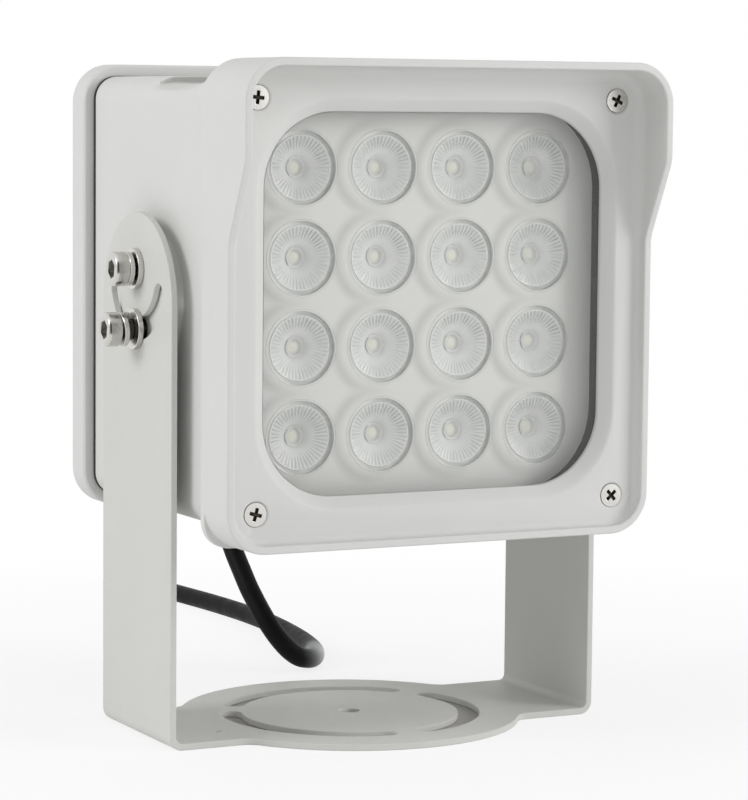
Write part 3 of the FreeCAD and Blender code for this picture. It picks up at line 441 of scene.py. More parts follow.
@dataclass(frozen=True)
class CableSkin:
    """Matt black cable jacket with faint marks along it and a painted highlight where it meets the floor."""

    name: str
    colour: tuple = (0.004, 0.004, 0.0045)
    # Colour of the painted highlight on the bend.
    highlight_colour: tuple = (0.66, 0.67, 0.68)
    marks: tuple = (0.12, 3.0, 1.0)
    mark_size: float = 4 * MM
    mark_depth: float = 0.02 * MM
    dust_size: float = 5 * MM
    roughness: tuple = (0.42, 0.58)
    gloss: float = 0.09

    def material(self) -> Material:
        """Return the jacket's material."""
        recipe = Recipe(self.name)
        flat = recipe.add("ShaderNodeUVMap", uv_map="along").outputs["UV"]
        lines = recipe.noise(self.mark_size, detail=2.0, place=recipe.stretched(self.marks, flat))
        dust = recipe.noise(self.dust_size, detail=3.0, place=flat)
        clean = recipe.mottled(dust, self.colour, darker=0.0, lighter=0.6)
        # The tone paints a highlight on the bend where the cable meets the floor.
        recipe.set(Base_Color=recipe.blend(recipe.tone(), clean, self.highlight_colour))
        recipe.set(Roughness=recipe.varied(dust, *self.roughness), Specular_IOR_Level=self.gloss)
        recipe.set(Normal=recipe.bump(lines, self.mark_depth))
        return recipe.material


@dataclass(frozen=True)
class Board:
    """Circuit board with a faint weave under its lacquer."""

    name: str
    colour: tuple
    threads: float = 400.0
    depth: float = 0.004 * MM
    wear_size: float = 3 * MM
    roughness: tuple = (0.28, 0.4)

    def material(self) -> Material:
        """Return the board's material."""
        recipe = Recipe(self.name)
        wave = recipe.add("ShaderNodeTexWave", wave_type="BANDS", bands_direction="DIAGONAL")
        recipe.feed(wave.inputs["Vector"], recipe.place)
        recipe.feed(wave.inputs["Scale"], self.threads)
        weave = wave.outputs["Fac"]
        recipe.set(Base_Color=recipe.mottled(weave, self.colour, darker=0.0, lighter=0.12))
        recipe.set(Roughness=recipe.varied(recipe.noise(self.wear_size), *self.roughness))
        recipe.set(Normal=recipe.bump(weave, self.depth))
        return recipe.material


def quads(rows: int, columns: int) -> np.ndarray:
    """Return the corner numbers of the faces of a grid of points whose last column joins its first."""
    number = np.arange(rows * columns).reshape(rows, columns)
    number = np.concatenate([number, number[:, :1]], axis=1)
    corners = [number[:-1, :-1], number[1:, :-1], number[1:, 1:], number[:-1, 1:]]
    return np.stack(corners, axis=-1).reshape(-1, 4)


@dataclass
class Sheet:
    """A grid of points that closes on itself, with the material of each row and the tone of each point."""

    points: np.ndarray
    kinds: np.ndarray | int = 0
    tones: np.ndarray | float = 0.0


def shell(name: str, sheets: Iterable[Sheet], materials: Iterable[Material], angle: float = 35) -> Piece:
    """Make one closed piece from grids of points.

    Points that meet are merged, which closes seams and poles, and the faces are turned outwards.

    Args:
        name: The piece's name.
        sheets: The grids.
        materials: The piece's materials.
        angle: The angle in degrees past which an edge is drawn sharp.

    Returns:
        The new object at the origin.
    """
    points, faces, kinds, tones, start = [], [], [], [], 0
    for sheet in sheets:
        rows, columns = sheet.points.shape[:2]
        points.append(sheet.points.reshape(-1, 3))
        faces.append(quads(rows, columns) + start)
        kinds.append(np.repeat(np.broadcast_to(sheet.kinds, rows - 1), columns))
        tones.append(np.broadcast_to(sheet.tones, (rows, columns)).ravel())
        start += rows * columns
    mesh = bpy.data.meshes.new(name)
    mesh.from_pydata(np.concatenate(points).tolist(), [], np.concatenate(faces).tolist())
    mesh.polygons.foreach_set("material_index", np.concatenate(kinds).astype(np.int32))
    tone = mesh.attributes.new("tone", "FLOAT", "POINT")
    tone.data.foreach_set("value", np.concatenate(tones).astype(np.float32))
    work = bmesh.new()
    work.from_mesh(mesh)
    bmesh.ops.remove_doubles(work, verts=work.verts, dist=1e-6)
    bmesh.ops.dissolve_degenerate(work, edges=work.edges, dist=1e-7)
    bmesh.ops.recalc_face_normals(work, faces=work.faces)
    work.to_mesh(mesh)
    work.free()
    return finished(name, mesh, materials, angle)


def finished(name: str, mesh: bpy.types.Mesh, materials: Iterable[Material], angle: float) -> Piece:
    """Give a mesh its materials and smooth shading, and link it.

    Args:
        name: The piece's name.
        mesh: Its mesh.
        materials: Its materials.
        angle: The angle in degrees past which an edge is drawn sharp.

    Returns:
        The new object.
    """
    mesh.polygons.foreach_set("use_smooth", np.ones(len(mesh.polygons), bool))
    mesh.set_sharp_from_angle(angle=math.radians(angle))
    for material in materials:
        mesh.materials.append(material)
    piece = bpy.data.objects.new(name, mesh)
    bpy.context.scene.collection.objects.link(piece)
    return piece


def softened(node: str, name: str, material: Material, width: float) -> Piece:
    """Copy a CAD node and round its sharp edges, as paint or tumbling leaves them.

    Args:
        node: The CAD node, whose loose triangles are merged in the copy.
        name: The new piece's name.
        material: The piece's material.
        width: The width of the rounding.

    Returns:
        The new object.
    """
    flat, sharp = math.radians(0.6), math.radians(32)
    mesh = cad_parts[node].data.copy()
    mesh.name = name
    mesh.materials.clear()
    work = bmesh.new()
    work.from_mesh(mesh)
    bmesh.ops.remove_doubles(work, verts=work.verts, dist=2e-6)
    bmesh.ops.dissolve_limit(work, angle_limit=flat, verts=work.verts, edges=work.edges)
    weight = work.edges.layers.float.new("bevel_weight_edge")
    for edge in work.edges:
        if edge.is_manifold and edge.is_convex and edge.calc_face_angle() > sharp:
            edge[weight] = 1.0
    work.to_mesh(mesh)
    work.free()
    piece = finished(name, mesh, [material], angle=30)
    bevel = piece.modifiers.new("soft edges", "BEVEL")
    bevel.width = width
    bevel.segments = 2
    bevel.limit_method = "WEIGHT"
    bevel.harden_normals = True
    bevel.use_clamp_overlap = False
    return piece


def deliver(piece: Piece, body: Body, slot: str, *nodes: str) -> None:
    """Attach a finished piece to its body and hide the CAD nodes that it stands for.

    Args:
        piece: The piece.
        body: The body that it moves with.
        slot: The record's material slot; not used.
        nodes: The CAD nodes that it stands for.
    """
    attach(piece, body.value)
    if nodes:
        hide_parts(*nodes)
    log.info("%s rides on %s", piece.name, body.value)


def smooth(value: np.ndarray, start: float, end: float) -> np.ndarray:
    """Return an eased share that runs from 0 at start to 1 at end."""
    share = np.clip((value - start) / (end - start), 0, 1)
    return share * share * (3 - 2 * share)


def facing(turn: np.ndarray, towards: float, start: float, end: float) -> np.ndarray:
    """Return how much angles look towards one of them: their cosine with it, eased from start to end."""
    return smooth(np.cos(turn - towards), start, end)


def unit(vectors: np.ndarray) -> np.ndarray:
    """Return vectors scaled to a length of one."""
    return vectors / np.linalg.norm(vectors, axis=-1, keepdims=True)


def circle(steps: int) -> np.ndarray:
    """Return angles spread evenly over a full turn, without the last."""
    return np.linspace(0, 2 * np.pi, steps, endpoint=False)


def columns_of(rows: tuple) -> list[np.ndarray]:
    """Return each column of a profile's rows, as a column of its own."""
    return [column[:, None] for column in np.array(rows).T]


def turned(
    radius: np.ndarray, turn: np.ndarray, depth: np.ndarray, centre: Iterable[float], axis: Axis = Axis.Y
) -> np.ndarray:
    """Return the grid of points of a profile turned about an axis.

    A point stands its radius from the axis: the cosine of the turn is its share along the level
    direction, and the sine its share upwards.

    Args:
        radius: The radius of each row or of each point.
        turn: The angles.
        depth: How far along the axis each row or point lies.
        centre: The point that depths and radii are measured from.
        axis: The direction of the axis.

    Returns:
        The grid.
    """
    level, up = radius * np.cos(turn), radius * np.sin(turn)
    parts = (depth, level, up) if axis is Axis.X else (level, depth, up)
    return np.stack(np.broadcast_arrays(*parts), axis=-1) + np.array(centre)


def rounded(half_x: float, half_z: float, radius: float, corner: int = 10, flat: int = 12) -> np.ndarray:
    """Return the points of a rounded rectangle round the origin, anticlockwise from the right.

    Args:
        half_x: Half its width.
        half_z: Half its height.
        radius: Its corners' radius.
        corner: Steps in each corner.
        flat: Points along each straight side.

    Returns:
        An array of x and z.
    """
    signs = np.array([[1, 1], [-1, 1], [-1, -1], [1, -1]])
    turn = np.radians(np.arange(4)[:, None] * 90 + np.linspace(0, 90, corner + 1)[None, :])
    middle = signs * np.array([half_x - radius, half_z - radius])
    arcs = middle[:, None, :] + radius * np.stack([np.cos(turn), np.sin(turn)], axis=-1)
    share = np.linspace(0, 1, flat + 2)[None, 1:-1, None]
    start, end = arcs[:, -1:, :], np.roll(arcs[:, :1, :], -1, axis=0)
    return np.concatenate([arcs, start + (end - start) * share], axis=1).reshape(-1, 2)


def upright(outline: np.ndarray, level: float) -> np.ndarray:
    """Stand an outline of x and z round the middle of the head, at a distance along Y."""
    return np.stack(np.broadcast_arrays(outline[:, 0], level, HEAD_UP + outline[:, 1]), axis=-1)


@dataclass
class Studio:
    """Pale floor, soft light and the camera of the photograph.

    The floor carries a painted shadow under the base, darker than round it, and it glows more and more
    with the distance from the middle: each glow lists the two distances between which it grows, and its
    least and most.
    """

    yaw: float = 26.757
    pitch: float = 5.378
    roll: float = 0.520
    place: tuple = (-0.41820, -0.84425, 0.18555)
    lens: float = 151.03
    sky: float = 0.56
    brightest: tuple = (-0.45, -0.25, 0.86)
    sky_spread: tuple = (0.7, 1.3)
    key: tuple = ((-2.0, 0.15, 1.1), 0.9, 17.0)
    fill: tuple = ((1.2, -1.1, 0.6), 0.8, 12.0)
    aim: tuple = (0.0, 0.0, 0.1)
    floor_half: float = 4.0
    # Colour of the painted shadow under the base.
    under_base_shadow: tuple = (0.5, 0.49, 0.47)
    pale: tuple = (0.93, 0.93, 0.93)
    base_edge: tuple = (0.044, 0.048)
    near_glow: tuple = (0.044, 0.052, 0.0, 0.78)
    far_glow: tuple = (0.10, 0.36, 0.0, 0.22)

    def camera(self) -> None:
        """Set the camera from its bearing, its downward tilt and its roll in degrees."""
        yaw, pitch, roll = (math.radians(turn) for turn in (self.yaw, self.pitch, self.roll))
        reach = math.cos(pitch)
        ahead = Vector((math.sin(yaw) * reach, math.cos(yaw) * reach, -math.sin(pitch)))
        level = Vector((math.cos(yaw), -math.sin(yaw), 0.0))
        lift = level.cross(ahead)
        right = level * math.cos(roll) + lift * math.sin(roll)
        up = lift * math.cos(roll) - level * math.sin(roll)
        data = bpy.data.cameras.new("view")
        data.sensor_fit = "HORIZONTAL"
        data.sensor_width = 36.0
        data.lens = self.lens
        data.clip_start = 0.01
        holder = bpy.data.objects.new("view", data)
        bearing = Matrix((right, up, -ahead)).transposed().to_4x4()
        holder.matrix_world = Matrix.Translation(self.place) @ bearing
        bpy.context.scene.collection.objects.link(holder)
        bpy.context.scene.camera = holder

    def softbox(self, name: str, place: tuple, width: float, power: float) -> None:
        """Hang a square soft light that faces the object.

        Args:
            name: The light's name.
            place: Where it hangs.
            width: Its side.
            power: Its power in watts.
        """
        data = bpy.data.lights.new(name, "AREA")
        data.shape = "SQUARE"
        data.size = width
        data.energy = power
        holder = bpy.data.objects.new(name, data)
        holder.location = place
        holder.rotation_mode = "QUATERNION"
        holder.rotation_quaternion = (Vector(self.aim) - Vector(place)).to_track_quat("-Z", "Y")
        bpy.context.scene.collection.objects.link(holder)

    def world(self) -> None:
        """Light the scene from all round, brighter from the upper left front, before a white background."""
        world = bpy.data.worlds.new("studio")
        world.use_nodes = True
        nodes = Nodes(world.node_tree)
        nodes.tree.nodes.clear()
        toward = nodes.add("ShaderNodeVectorMath", operation="DOT_PRODUCT")
        nodes.feed(toward.inputs[0], nodes.add("ShaderNodeTexCoord").outputs["Generated"])
        nodes.feed(toward.inputs[1], self.brightest)
        strength = nodes.span(toward.outputs["Value"], -1.0, 1.0, *self.sky_spread)
        light = nodes.add("ShaderNodeBackground")
        nodes.feed(light.inputs["Strength"], nodes.math("MULTIPLY", strength, self.sky))
        plain = nodes.add("ShaderNodeBackground")
        nodes.feed(plain.inputs["Strength"], 1.0)
        nodes.feed(plain.inputs["Color"], (1.0, 1.0, 1.0, 1.0))
        mixed = nodes.layered(nodes.background_share(), light.outputs[0], plain.outputs[0])
        nodes.feed(nodes.add("ShaderNodeOutputWorld").inputs["Surface"], mixed)
        bpy.context.scene.world = world

    def floor(self) -> None:
        """Lay a wide pale floor that keeps a soft shadow and fades into the white background."""
        half = self.floor_half
        corners = [(-half, -half, 0.0), (half, -half, 0.0), (half, half, 0.0), (-half, half, 0.0)]
        mesh = bpy.data.meshes.new("floor")
        mesh.from_pydata(corners, [], [(0, 1, 2, 3)])
        recipe = Recipe("pale floor")
        away = recipe.length(recipe.place)
        around = recipe.span(away, *self.base_edge, 0.0, 1.0)
        # Painted shadow under the base, seen through its slots.
        recipe.set(Base_Color=recipe.blend(around, self.under_base_shadow, self.pale))
        recipe.set(Roughness=1.0, Specular_IOR_Level=0.0)
        glowing = recipe.math("ADD", recipe.span(away, *self.near_glow), recipe.span(away, *self.far_glow))
        share = recipe.math("MULTIPLY", recipe.background_share(), glowing)
        glow = recipe.add("ShaderNodeEmission").outputs[0]
        recipe.feed(recipe.output.inputs["Surface"], recipe.layered(share, recipe.shader.outputs[0], glow))
        mesh.materials.append(recipe.material)
        plane = bpy.data.objects.new("floor", mesh)
        bpy.context.scene.collection.objects.link(plane)

    def build(self) -> None:
        """Set up the whole studio."""
        self.camera()
        self.world()
        self.floor()
        self.softbox("left light", *self.key)
        self.softbox("right front light", *self.fill)
        bpy.context.scene.view_settings.view_transform = "Standard"


@dataclass
class Cable:
    """Black two-core cable from the gland down behind the head and away along the floor."""

    radius: float = 3.2 * MM
    around: int = 32
    sideways: tuple = (0.93, -0.12, 0.35)
    end_shares: tuple = (0.0, 0.55, 0.9)
    exit: tuple = (0.0, 0.081, 0.092)
    landing: tuple = (0.0110, 0.0795, 0.0130)
    length: float = 0.320
    # Middle of the painted highlight on the cable's bend, with its reach and strength below.
    highlight_middle: tuple = (0.0340, 0.0815, 0.0055)
    highlight_reach: tuple = (1 * MM, 17 * MM)
    highlight_share: float = 0.85
    lean: float = 0.4
    core_radius: float = 1.1 * MM
    core_off: float = 1.35 * MM
    core_inset: float = 2 * MM
    core_reach: float = 11 * MM
    core_spread: float = 0.6 * MM
    core_steps: int = 12
    tip_radius: float = 0.6 * MM
    tip_reach: float = 3 * MM
    route: tuple = (
        (0.0, 0.0810, 0.0920),
        (0.0, 0.0940, 0.0920),
        (0.0015, 0.1060, 0.0845),
        (0.0025, 0.1105, 0.0700),
        (0.0035, 0.1075, 0.0540),
        (0.0050, 0.0990, 0.0390),
        (0.0060, 0.0935, 0.0320),
        (0.0070, 0.0880, 0.0250),
        (0.0110, 0.0795, 0.0130),
        (0.0176, 0.0763, 0.0048),
        (0.0243, 0.0775, 0.0033),
        (0.0296, 0.0850, 0.0033),
        (0.0342, 0.0975, 0.0033),
        (0.0392, 0.1210, 0.0033),
        (0.0432, 0.1560, 0.0033),
        (0.0425, 0.1900, 0.0033),
        (0.0388, 0.2250, 0.0033),
        (0.0362, 0.2480, 0.0033),
        (0.0368, 0.2690, 0.0033),
    )

    def line(self) -> np.ndarray:
        """Return points along the smooth curve that the route's points control."""
        data = bpy.data.curves.new("route", "CURVE")
        data.dimensions = "3D"
        data.resolution_u = 16
        spline = data.splines.new("NURBS")
        spline.points.add(len(self.route) - 1)
        for point, place in zip(spline.points, self.route):
            point.co = (*place, 1.0)
        spline.order_u = 3
        spline.use_endpoint_u = True
        holder = bpy.data.objects.new("route", data)
        bpy.context.scene.collection.objects.link(holder)
        graph = bpy.context.evaluated_depsgraph_get()
        flat = bpy.data.meshes.new_from_object(holder.evaluated_get(graph))
        points = np.zeros(len(flat.vertices) * 3)
        flat.vertices.foreach_get("co", points)
        bpy.data.objects.remove(holder)
        return points.reshape(-1, 3)

    def tube(self, line: np.ndarray, radius: float) -> np.ndarray:
        """Carry a circle along a line.

        Each ring stands square to the line: its two directions come from a fixed sideways vector, made
        square to the line's heading.

        Args:
            line: The points of the line.
            radius: The tube's radius.

        Returns:
            The tube's grid of points, one row a ring.
        """
        heading = unit(np.gradient(line, axis=0))
        across = unit(np.cross(heading, np.array(self.sideways)))
        other = np.cross(heading, across)
        turn = circle(self.around)[None, :, None]
        ring = np.cos(turn) * across[:, None, :] + np.sin(turn) * other[:, None, :]
        return line[:, None, :] + radius * ring

    def closed(self, line: np.ndarray, radius: float) -> np.ndarray:
        """Return a tube whose two ends are rounded over to a point."""
        rings = self.tube(line, radius)
        share = np.array(self.end_shares)[:, None, None]
        first = line[0] + (rings[0] - line[0]) * share
        last = line[-1] + (rings[-1] - line[-1]) * share[::-1]
        return np.concatenate([first, rings, last])

    def core(self, line: np.ndarray, way: int, colour: tuple, slot: str) -> Piece:
        """Make one bare core with its tinned end.

        Args:
            line: The points of the cable's centre line.
            way: -1 for the core at one side of the line and 1 for the other.
            colour: The core's colour.
            slot: The record's material slot.

        Returns:
            The new object.
        """
        heading = unit(line[-1] - line[-2])
        side = way * np.array([heading[1], -heading[0], 0.0])
        start = line[-1] + side * self.core_off - heading * self.core_inset
        reach = heading * self.core_reach + side * self.core_spread
        path = start + reach * np.linspace(0, 1, self.core_steps)[:, None]
        tip = self.closed(path[-2:] + heading * self.tip_reach, self.tip_radius)
        skin = Moulded(f"{slot} skin", colour, roughness=0.4).material()
        tin = Metal(f"{slot} tinned end", (0.7, 0.7, 0.68)).material()
        sheets = [Sheet(self.closed(path, self.core_radius)), Sheet(tip, kinds=1)]
        made = shell(slot.replace("lead", "core"), sheets, [skin, tin])
        deliver(made, Body.BRACKET, slot)
        return made

    def build(self) -> None:
        """Make the cable and its two bare cores."""
        line = self.line()
        jacket = CableSkin("black jacket").material()
        piece = shell("cable", [Sheet(self.closed(line, self.radius))], [jacket])
        self.unwrap(piece, line)
        cores = [self.core(line, -1, RED, "lead_red"), self.core(line, 1, BLACK, "lead_black")]
        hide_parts("cable_drop", "cable_floor_run")
        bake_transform(piece)
        log.info("cable blends from the head to the bracket")

    def unwrap(self, piece: Piece, line: np.ndarray) -> None:
        """Give the jacket a map whose first axis runs along the cable and second round it, and its painted
        highlight.

        Each corner takes the distance along the line of the nearest line point, and its height on the tube.
        The painted highlight's share eases off with the distance from its middle.

        Args:
            piece: The cable.
            line: The points of its centre line.
        """
        mesh = piece.data
        places = np.zeros(len(mesh.vertices) * 3)
        mesh.vertices.foreach_get("co", places)
        places = places.reshape(-1, 3)
        along = np.concatenate([[0.0], np.cumsum(np.linalg.norm(np.diff(line, axis=0), axis=1))])
        nearest = np.argmin(np.linalg.norm(places[:, None, :] - line[None, :, :], axis=2), axis=1)
        offset = places - line[nearest]
        flat = np.stack([along[nearest], offset[:, 2] + offset[:, 0] * self.lean], axis=1)
        corners = np.zeros(len(mesh.loops), np.int32)
        mesh.loops.foreach_get("vertex_index", corners)
        layer = mesh.uv_layers.new(name="along")
        layer.data.foreach_set("uv", flat[corners].astype(np.float32).ravel())
        # Painted highlight on the bend where the cable lies on the floor.
        away = np.linalg.norm(places - np.array(self.highlight_middle), axis=1)
        tones = self.highlight_share * (1 - smooth(away, *self.highlight_reach))
        mesh.attributes["tone"].data.foreach_set("value", tones.astype(np.float32))


@dataclass
class Lens:
    """Collimating lens as it shows through its flat face: a fluted bowl round a hub over the lamp.

    Depths are measured back from the front of the white plate. The profiles of the hub and of the
    outside list a radius and a depth in millimetres, and the face's a share of its radius and a depth.
    The tones are painted shade, and lit a painted highlight that takes shade away. Shaded, lit, the hub's
    shade and groove each list the angle that a tone faces, and the start and end of its fade.
    """

    flutes: int = 44
    steps: int = 6
    hub_radius: float = 2.95 * MM
    bowl_radius: float = 9.12 * MM
    bowl_deep: float = 4.9 * MM
    rim_deep: float = 0.9 * MM
    bowl_power: float = 0.56
    bowl_rows: int = 22
    flute_deep: float = 0.34 * MM
    flute_start: float = 0.3
    flute_fade: float = 0.06
    face_deep: float = 0.6 * MM
    face_radius: float = 9.22 * MM
    face_steps: int = 64
    flute_tones: tuple = (0.4, 0.6, 0.75)
    shaded: tuple = (1.2, 0.2, 0.9)
    lit: tuple = (3.85, 0.75, 0.95)
    hub_shade_tone: float = 0.95
    hub_shade: tuple = (math.pi, 0.55, 0.8)
    groove: tuple = (-0.1, -0.6, 0.2)
    lamp_rows: tuple = (0, 3)
    groove_rows: tuple = (-12, -9)
    collar_rows: tuple = (-9, None)
    # Profile rows that carry the painted shade at the left of the hub.
    arc_points: tuple = (7, 10)
    groove_points: tuple = (-13, -10)
    hub: tuple = (
        *((0.0, 5.4), (0.8, 5.42), (1.45, 5.5), (1.6, 5.7)),
        *((2.3, 5.8), (2.45, 4.75), (2.55, 4.6), (2.72, 4.58)),
    )
    outside: tuple = (
        *((9.2, 0.84), (9.32, 0.86), (9.36, 1.35), (10.5, 1.35), (10.54, 0.12)),
        *((10.62, 0.04), (10.92, 0.04), (10.98, 0.1), (10.98, 2.9), (10.3, 2.9)),
        *((5.8, 8.0), (5.6, 10.25), (3.2, 10.25), (3.2, 8.3), (0.0, 8.3)),
    )
    face: tuple = ((0.0, 0.0), (0.5, 0.0), (0.97, 0.0), (1.0, 0.03), (1.0, 0.12), (0.97, 0.15), (0.0, 0.15))

    def rows(self) -> tuple[np.ndarray, ...]:
        """Return the profile's radii, depths, flute shares and the material of each row.

        The bowl's depth falls from the hub to the rim as a power of the distance from the hub. The
        flutes fade in from three tenths to six tenths of the way, and out again just before the rim.
        """
        share = np.linspace(0, 1, self.bowl_rows)[:, None]
        bowl = self.hub_radius + (self.bowl_radius - self.hub_radius) * share
        bowl_depth = self.bowl_deep - (self.bowl_deep - self.rim_deep) * share**self.bowl_power
        risen = np.clip((share - self.flute_start) / self.flute_start, 0, 1)
        fluted = risen * np.clip((1.0 - share) / self.flute_fade, 0, 1)
        hub, hub_depth = columns_of(self.hub)
        outer, outer_depth = columns_of(self.outside)
        radius = np.concatenate([hub * MM, bowl, outer * MM])
        depth = np.concatenate([hub_depth * MM, bowl_depth, outer_depth * MM])
        flute = np.concatenate([np.zeros(hub.shape), fluted, np.zeros(outer.shape)])
        kinds = np.full(len(radius) - 1, LensPart.BOWL, int)
        kinds[slice(*self.lamp_rows)] = LensPart.LAMP
        kinds[slice(*self.groove_rows)] = LensPart.GROOVE
        kinds[slice(*self.collar_rows)] = LensPart.COLLAR
        return radius, depth, flute, kinds

    def build(self, name: str, centre: Vector, materials: list[Material]) -> Piece:
        """Make the lens.

        Every flute is a ridge whose height follows a triangular wave of the angle. The tones paint shade down
        its side, most towards the upper right, and lighter, as a painted highlight, towards the lower left.
        They also paint shade in a crescent at the left of the hub and in the groove's right half.

        Args:
            name: The piece's name.
            centre: The middle of its face.
            materials: Its materials, in the order of LensPart.

        Returns:
            The new object.
        """
        radius, depth, flute, kinds = self.rows()
        turn = circle(self.flutes * self.steps)
        wave = np.abs(np.mod(turn * self.flutes / (2 * np.pi), 1.0) * 2 - 1)
        least, more, less = self.flute_tones
        # Painted shade down each flute's side, strongest towards the upper right, and a painted highlight
        # towards the lower left.
        side = least + more * facing(turn, *self.shaded) - less * facing(turn, *self.lit)
        tones = flute * wave * side
        # Painted shade in a crescent at the left of the hub and in the groove's right half.
        tones[slice(*self.arc_points)] = self.hub_shade_tone * facing(turn, *self.hub_shade)
        tones[slice(*self.groove_points)] = facing(turn, *self.groove)
        grid = turned(radius, turn, depth + self.flute_deep * flute * (wave - 0.5), centre)
        share, behind = columns_of(self.face)
        face_depth = self.face_deep + behind * MM
        face = turned(share * self.face_radius, circle(self.face_steps), face_depth, centre)
        sheets = [Sheet(grid, kinds, tones), Sheet(face, int(LensPart.FACE))]
        return shell(name, sheets, materials, angle=72)


@dataclass
class Optics:
    """Everything behind the pane: white plate, lenses, lamps and their board."""

    pitch: float = 25.5 * MM
    in_row: int = 4
    plate_edge: float = 0.2 * MM
    lens: Lens = field(default_factory=Lens)

    def build(self) -> None:
        """Make the plate and the sixteen lenses."""
        middle = (self.in_row - 1) / 2
        steps = [(number - middle) * self.pitch for number in range(self.in_row)]
        centres = [Vector((across, PLATE_AT, HEAD_UP - down)) for down in steps for across in steps]
        white = PlateWhite("white plate").material(centres)
        plate = softened("lens_plate", "plate", white, self.plate_edge)
        deliver(plate, Body.HEAD, "white_plate", "lens_plate")
        finishes = {
            # The flutes' and the groove's tones paint shade; on the flutes, less shade towards the lower left
            # is a painted highlight.
            LensPart.BOWL: Flutes("lens flutes"),
            LensPart.LAMP: Moulded("lamp phosphor", (0.92, 0.91, 0.79), roughness=0.35, grain=0.4 * MM),
            LensPart.FACE: Clear("lens face", tint=(0.9, 0.92, 0.9), cover=0.08, roughness=0.05),
            LensPart.GROOVE: Flutes("lens groove", pale=(0.80, 0.80, 0.78), shade_colour=(0.52, 0.53, 0.51)),
            LensPart.COLLAR: Moulded(
                "lens collar",
                PLATE_COLOUR,
                roughness=0.34,
                grain=1.0 * MM,
                depth=0.002 * MM,
                variation=0.01,
            ),
        }
        materials = [finishes[part].material() for part in LensPart]
        for number, centre in enumerate(centres, 1):
            made = self.lens.build(f"optic_{number}", centre, materials)
            deliver(made, Body.HEAD, "lens_acrylic", f"lens_{number}")


@dataclass
class CaseScrews:
    """Countersunk cross-recess screws at the four corners of the bezel and of the rear cover.

    The rows over the cross and the rim list the first and the last radius and their number. The profile
    of the shank, from the head's edge on, lists a radius and a depth in millimetres.
    """

    head_radius: float = 3.52 * MM
    across: float = 57.5 * MM
    up: float = 57.8 * MM
    around: int = 144
    arm_half: float = 0.46 * MM
    arm_reach: float = 1.85 * MM
    side_soft: float = 0.09 * MM
    end_soft: float = 0.2 * MM
    recess_deep: float = 1.7 * MM
    recess_rise: float = 0.45
    dome: float = 0.1 * MM
    sunk: float = 0.02 * MM
    edge_shade: float = 0.75
    cross_rows: tuple = (0.0, 2.3125 * MM, 26)
    rim_rows: tuple = (2.7 * MM, 3.35 * MM, 4)
    cover_at: float = 60.4 * MM
    bezel_turns: tuple = (-15, 42, -6, -25)
    cover_turns: tuple = (15, 50, -20, 33)
    shank: tuple = ((3.45, 0.1), (3.52, 0.2), (3.5, 0.32), (2.0, 1.9), (2.0, 19.5), (1.6, 19.95), (0.0, 20.0))

    def screw(self, place: tuple, inward: float, turn: float) -> Sheet:
        """Return one screw's surface.

        Its head is a low dome with a cross sunk in it: a point is sunk where it lies within the half
        width of one of two crossed bars, and the floor rises towards the bars' ends. The tones paint shade
        in the cross, in a ring round the head's edge and over the shank.

        Args:
            place: The middle of its head's face.
            inward: 1 where it is driven towards +Y, and -1 the other way.
            turn: The turn of its cross in degrees.

        Returns:
            The surface's grid.
        """
        angle = circle(self.around)
        spun = angle - math.radians(turn)
        radius = np.concatenate([np.linspace(*self.cross_rows), np.linspace(*self.rim_rows)])[:, None]
        narrow = np.minimum(np.abs(radius * np.cos(spun)), np.abs(radius * np.sin(spun)))
        inside = np.clip((self.arm_half - narrow) / self.side_soft + 0.5, 0, 1)
        inside *= np.clip((self.arm_reach - radius) / self.end_soft + 0.5, 0, 1)
        floor = self.recess_deep * (1 - self.recess_rise * radius / self.arm_reach)
        depth = self.sunk + self.dome * (radius / self.head_radius) ** 2 + inside * floor
        edge, edge_depth = columns_of(self.shank)
        rim = np.ones((len(edge), self.around))
        depth = np.concatenate([depth, edge_depth * MM * rim])
        # Painted shade: a ring round the head's edge, and the shank below it.
        rim[0] = self.edge_shade
        grid = turned(np.concatenate([radius, edge * MM]), angle, inward * depth, place)
        # The cross's tones paint shade in the recess.
        return Sheet(grid, tones=np.concatenate([inside, rim]))

    def build(self, steel: Material) -> None:
        """Make the screws of both faces.

        Args:
            steel: Their material.
        """
        for name, node, face, inward, turns in (
            ("face_screws", "bezel_screws", FACE_AT, 1.0, self.bezel_turns),
            ("cover_screws", "rear_cover_screws", self.cover_at, -1.0, self.cover_turns),
        ):
            places = [(x * self.across, face, HEAD_UP + z * self.up) for z in (-1, 1) for x in (-1, 1)]
            sheets = [self.screw(place, inward, turn) for place, turn in zip(places, turns)]
            deliver(shell(name, sheets, [steel], angle=28), Body.HEAD, "stainless", node)


